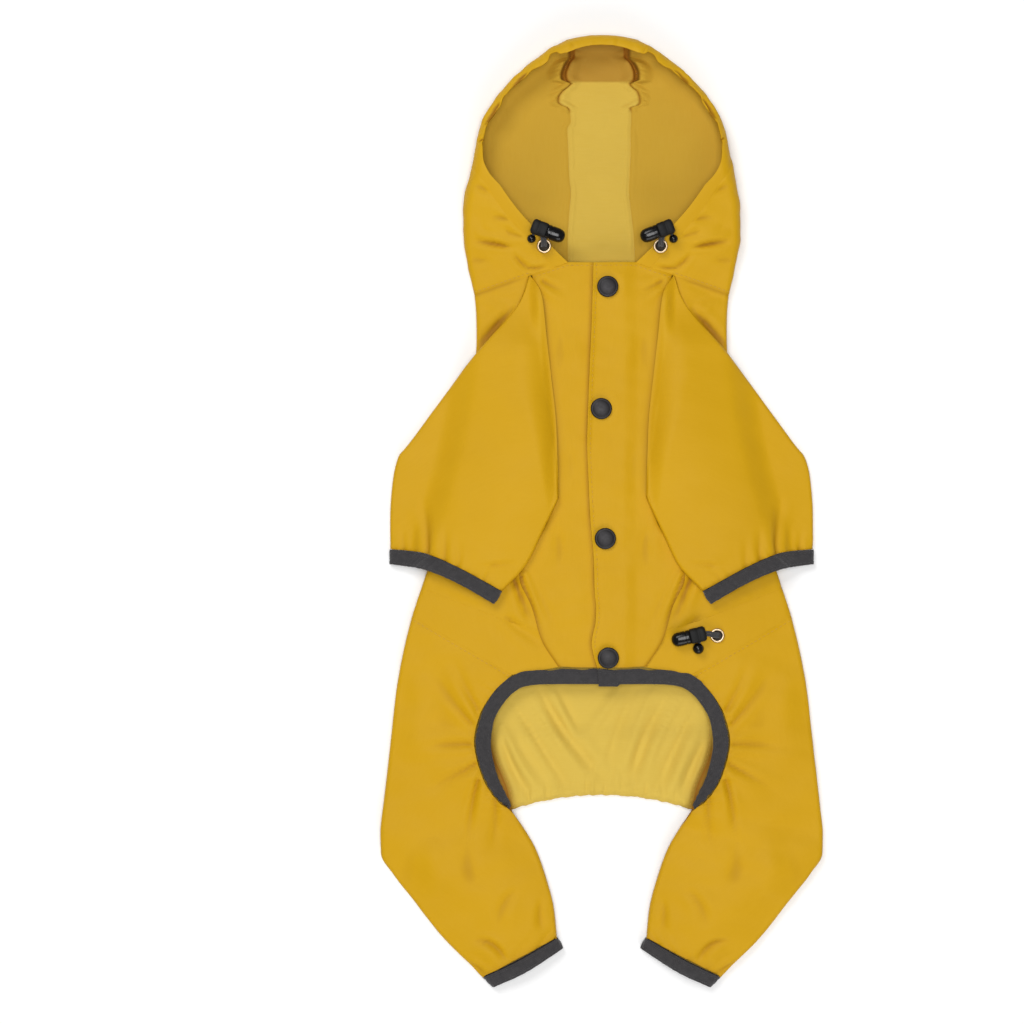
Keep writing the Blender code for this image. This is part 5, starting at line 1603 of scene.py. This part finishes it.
def closed_piece(name, points, faces, finish, slot, nodes):
    """A closed moulding whose faces all look outward, from points in millimetres."""
    mesh = bpy.data.meshes.new(name)
    mesh.from_pydata((np.array(points) * MM).tolist(), [], faces)
    form = bmesh.new()
    form.from_mesh(mesh)
    bmesh.ops.recalc_face_normals(form, faces=form.faces)
    form.to_mesh(mesh)
    form.free()
    mesh.shade_smooth()
    mesh.set_sharp_from_angle(angle=math.radians(50))
    mesh.materials.append(finish)
    return join(name, mesh, slot, *nodes)


def turned(name, profile, place, finish, slot, nodes, steps):
    """A round piece, turned from its profile of radii and heights."""
    profile = np.array(profile, float)
    angle = np.linspace(0, 2 * math.pi, steps, endpoint=False)
    inner = profile[profile[:, 0] > 1e-6]
    ring = np.stack([np.stack([r * np.cos(angle), r * np.sin(angle), np.full(steps, z)], axis=-1)
                     for r, z in inner])
    index = np.arange(len(inner) * steps).reshape(len(inner), steps)
    right = np.roll(index, -1, axis=1)
    faces = np.stack([index[:-1], right[:-1], right[1:], index[1:]], axis=-1).reshape(-1, 4)[:, ::-1].tolist()
    points = ring.reshape(-1, 3).tolist()
    for end, order in ((0, 1), (-1, -1)):
        if profile[end, 0] <= 1e-6:
            points.append([0, 0, profile[end, 1]])
            tip = len(points) - 1
            faces += [[tip, *pair][::order] for pair in zip(index[end].tolist(), right[end].tolist())]
    if profile[0, 0] > 1e-6 and profile[-1, 0] > 1e-6:
        faces += np.stack([index[-1], right[-1], right[0], index[0]], axis=-1)[:, ::-1].tolist()
    return closed_piece(name, np.array(points) + np.array(place), faces, finish, slot, nodes)


def lofted(name, sections, place, turn, finish, slot, nodes):
    """A closed moulding along its X from sections: place, half width, half height, roundness."""
    t = np.linspace(0, 2 * math.pi, LOCK_SIDES, endpoint=False)
    rings = []
    for x, wide, high, power in sections:
        c, s = np.cos(t), np.sin(t)
        rings.append(np.stack([np.full(LOCK_SIDES, x), wide * np.sign(c) * np.abs(c) ** (2 / power),
                               high * np.sign(s) * np.abs(s) ** (2 / power)], axis=-1))
    points = np.array(rings)
    a = math.radians(turn)
    spin = np.array([[math.cos(a), -math.sin(a), 0], [math.sin(a), math.cos(a), 0], [0, 0, 1]])
    points = points.reshape(-1, 3) @ spin.T + np.array(place)
    index = np.arange(len(sections) * LOCK_SIDES).reshape(len(sections), LOCK_SIDES)
    right = np.roll(index, -1, axis=1)
    faces = np.stack([index[:-1], index[1:], right[1:], right[:-1]], axis=-1).reshape(-1, 4)[:, ::-1].tolist()
    faces += [index[0, ::-1].tolist(), index[-1].tolist()]
    return closed_piece(name, points, faces, finish, slot, nodes)


def make_snaps():
    """The snaps' domed caps down the placket, each with a rolled rim."""
    profile = ((0.0, 2.45), (1.4, 2.42), (2.8, 2.3), (4.0, 2.08), (4.9, 1.82), (5.2, 1.62), (5.45, 1.62),
               (5.8, 1.6), (6.15, 1.3), (6.35, 0.9), (6.4, 0.45), (6.25, 0.05), (5.6, -0.3), (0.0, -0.3))
    for number, (x, y) in enumerate(SNAP_PLACES, 1):
        height = float(chest_height(x, y, PLACKET_LAP)) + WALL / 2 + CLEAR
        turned(f"snap_cap_{number}", profile, (x, y, height), SNAP_METAL, "gunmetal", [f"snap_{number}"],
               SNAP_SIDES)


def cord_curve(name, points, node):
    """A round cord along a smooth route, eased by a few rounds of smoothing."""
    route = spline(points, 8)
    along = lengths_along(route)
    route = pick(route, along, np.linspace(0, along[-1], CORD_POINTS))
    for _ in range(CORD_EASING):
        route[1:-1] += 0.25 * (route[2:] - 2 * route[1:-1] + route[:-2])
    curve = bpy.data.curves.new(name, "CURVE")
    curve.dimensions = "3D"
    line = curve.splines.new("POLY")
    line.points.add(len(route) - 1)
    for point, place in zip(line.points, route * MM):
        point.co = (*place, 1)
    curve.bevel_depth = CORD_WIDTH / 2 * MM
    curve.bevel_resolution = 5
    curve.use_fill_caps = True
    curve.materials.append(BRAID)
    made = join(name, curve, "drawcord", node)
    return made, float(lengths_along(route)[-1] * MM)


def make_lock(name, lock):
    """A cord lock with its button and stop, the eyelet beside it and the cord's two strands."""
    turn = lock["turn"]
    centre, stop, eyelet, way_in, inside = (np.array(lock[place])
                                            for place in ("centre", "stop", "eyelet", "way_in", "inside"))
    along = np.array([math.cos(math.radians(turn)), math.sin(math.radians(turn))])
    length, width, height = LOCK_BODY
    middle = cloth_top(name, *centre, 10.0) + CLEAR + height / 2
    button_length, button_radius = LOCK_BUTTON
    body_at = centre - along * button_length / 2
    w, h, e = width / 2, height / 2, length / 2
    barrel = ((-e, w - 1.9, h - 1.7, 2.6), (-e + 0.2, w - 1.1, h - 1.0, 2.8),
              (-e + 0.7, w - 0.4, h - 0.35, 3.2), (-e + 1.5, w, h, 3.6), (-0.9, w, h, 3.6),
              (-0.6, w - 0.15, h - 0.2, 3.6), (0.2, w - 0.15, h - 0.2, 3.6), (0.5, w, h, 3.6),
              (e - 0.9, w, h, 3.2), (e - 0.2, w - 0.15, h - 0.15, 3.0), (e, w - 0.4, h - 0.35, 3.0))
    body = lofted(name + "_lock_barrel", barrel, (*body_at, middle), turn, MATT_PLASTIC, "black_plastic",
                  [name + "_lock"])
    b, c = button_radius + 0.3, button_radius
    plunger = ((-0.3, b - 0.4, c - 0.4, 2.6), (0.0, b - 0.1, c - 0.1, 2.5), (0.6, b, c, 2.4), (1.9, b, c, 2.4),
               (2.1, b - 0.3, c - 0.3, 2.4), (2.5, b - 0.3, c - 0.3, 2.4), (2.7, b, c, 2.4), (6.5, b, c, 2.3),
               (8.3, b - 0.25, c - 0.2, 2.2), (9.6, b - 0.9, c - 0.8, 2.1), (10.4, b - 1.8, c - 1.6, 2.0),
               (10.85, b - 2.8, c - 2.6, 2.0), (11.0, 0.7, 0.6, 2.0))
    button = lofted(name + "_lock_plunger", plunger, (*(body_at + along * (e + 0.36)), middle), turn, PLASTIC,
                    "black_plastic", [name + "_lock_button"])
    r = lock["stop_radius"]
    stop_height = cloth_top(name, *stop, 3.5) + CLEAR + r
    globe = [(r * math.sin(a) * (0.93 if 1.45 < a < 1.7 else 1.0), r * math.cos(a))
             for a in np.linspace(0, math.pi, 25)]
    ball = turned(name + "_cord_ball", globe, (*stop, stop_height), PLASTIC, "black_plastic",
                  [name + "_cord_stop"], BALL_SIDES)
    ground = cloth_top(name, *eyelet, 5.0)
    make_eyelet(name, eyelet, ground)

    across = towards(eyelet, way_in)
    aside = np.array([-across[1], across[0]]) * STRAND_APART
    if np.dot(aside, stop - body_at) < 0:
        aside = -aside
    top, deep = middle - 0.3, ground - 2.9
    turn_point = body_at + along * -1.6 + towards(body_at, stop) * 0.6

    def route(stations, apart):
        """Points of a strand, each with its weights of two places and its height."""
        return [(*(a * u + b * v + apart), z) for a, u, b, v, z in stations]

    out = [(eyelet, 0.9, inside, 0.1, ground - 0.2), (eyelet, 1, inside, 0, ground + 0.9),
           (eyelet, 0.6, way_in, 0.4, ground + 0.72 * (top - ground)), (eyelet, 0, way_in, 1, top)]
    run = route([(inside, 1.4, eyelet, -0.4, deep), (eyelet, 0.45, inside, 0.55, deep), *out,
                 (body_at, 0.7, way_in, 0.3, top + 0.2)], aside)
    run += route([(turn_point, 1, stop, 0, top + 0.3),
                  (turn_point, 0.35, stop, 0.65, stop_height * 0.6 + top * 0.4),
                  (turn_point, 0, stop, 1, stop_height)], 0)
    strand, long = cord_curve(name + "_cord_run", run, name + "_drawcord")
    back = route([(inside, 1.9, eyelet, -0.9, deep), (inside, 1, eyelet, 0, deep),
                  (eyelet, 0.5, inside, 0.5, deep), *out, (body_at, 0.75, way_in, 0.25, top + 0.2)], -aside)
    strand, long = cord_curve(name + "_cord_return", back, name + "_drawcord")


def make_eyelet(name, eyelet, ground):
    """A rolled metal ring, and a dark cup in its hole that stands in for the shade inside its barrel, through
    which the cord passes.
    """
    tube, flat = EYELET_TUBE, EYELET_FLATNESS * EYELET_TUBE
    ring = [(EYELET_RADIUS + tube * math.cos(a), flat * math.sin(a) * (1.0 if math.sin(a) > 0 else 1.6))
            for a in np.linspace(0, 2 * math.pi, 20, endpoint=False)]
    place = (*eyelet, ground + CLEAR + flat + 0.3)
    turned(name + "_eyelet_ring", ring, place, NICKEL_WITH_PAINTED_REFLECTION, "nickel", [name + "_eyelet"], RING_SIDES)
    # The well is a dark cup in the ring's hole: painted shade where the barrel's inside lies in shadow.
    r = EYELET_RADIUS - tube * 0.5
    well = ((0.0, -0.55), (r * 0.7, -0.5), (r * 0.95, -0.2), (r, 0.0), (r + 0.1, -0.35), (r * 0.9, -0.75),
            (0.0, -0.8))
    turned(name + "_eyelet_shade_well", well, place, SHADE_WELL_FINISH, "nickel", [name + "_eyelet"], WELL_SIDES)


# ---- reflective tape -----------------------------------------------------------------------------


def make_tape():
    """Slanted pairs of plain reflective strips on the hidden outer back of both hind legs."""
    strips = table("x0 y0 x1 y1 width", ((118, -96, 96, -150, 10), (122, -140, 100, -196, 10)))
    for number, row in enumerate(rows_of(strips), 1):
        a, b = np.array([row["x0"], row["y0"]]), np.array([row["x1"], row["y1"]])
        way = towards(a, b)
        aside = np.array([-way[1], way[0]]) * row["width"] / 2
        grid = np.array([[(*(a + (b - a) * t + aside * w), 0.08) for w in np.linspace(-1, 1, 8)]
                         for t in np.linspace(0, 1, 50)])
        for name, flip in SIDES:
            piece = cloth(f"reflective_strip_{number}_{name}", grid * (flip, 1, 1), flip, [], (TAPE,),
                          wall=TAPE_WALL)


# ---- stage ---------------------------------------------------------------------------------------


def add(name, data):
    """An object in the scene that isn't part of the coat."""
    made = bpy.data.objects.new(name, data)
    bpy.context.scene.collection.objects.link(made)
    return made


def make_camera():
    """Straight above, with the coat's centre line right of the picture's middle."""
    lens = bpy.data.cameras.new("Camera")
    lens.lens, lens.sensor_width = LENS, SENSOR
    camera = add("Camera", lens)
    camera.location = (*VIEW_CENTRE, VIEW_LEVEL + PICTURE_WIDTH * LENS / SENSOR)
    bpy.context.scene.camera = camera


def make_stage():
    """A pale floor under soft light from three sides."""
    mesh = bpy.data.meshes.new("floor")
    corners = [(x * FLOOR_REACH, y * FLOOR_REACH, 0) for x, y in ((-1, -1), (1, -1), (1, 1), (-1, 1))]
    mesh.from_pydata(corners, [], [(0, 1, 2, 3)])
    mesh.materials.append(Shader("PaleFloor", linear(255, 255, 255), 0.8).material)
    add("floor", mesh)
    for name, place, size, power in LIGHTS:
        lamp = bpy.data.lights.new(name, "AREA")
        lamp.shape = "RECTANGLE"
        lamp.size = lamp.size_y = size
        lamp.energy = power
        made = add(name, lamp)
        made.location = place
        made.rotation_euler = (Vector() - Vector(place)).to_track_quat("-Z", "Y").to_euler()
    scene = bpy.context.scene
    scene.world = bpy.data.worlds.new("Studio")
    scene.world.use_nodes = True
    background = scene.world.node_tree.nodes["Background"].inputs
    background["Color"].default_value = (1, 1, 1, 1)
    background["Strength"].default_value = SKY
    scene.view_settings.view_transform = "Standard"


def main():
    """The camera and the cords first, then the coat from the back up, then the floor and the light."""
    make_camera()
    for name, lock in LOCKS.items():
        make_lock(name, lock)
    make_back()
    make_waist_band()
    make_chest()
    make_legs(list(zip(make_leg_cuffs(), make_arch())))
    make_seat()
    make_sleeves()
    make_hood()
    make_flap()
    make_snaps()
    make_tape()
    make_stitches()
    make_stage()


main()
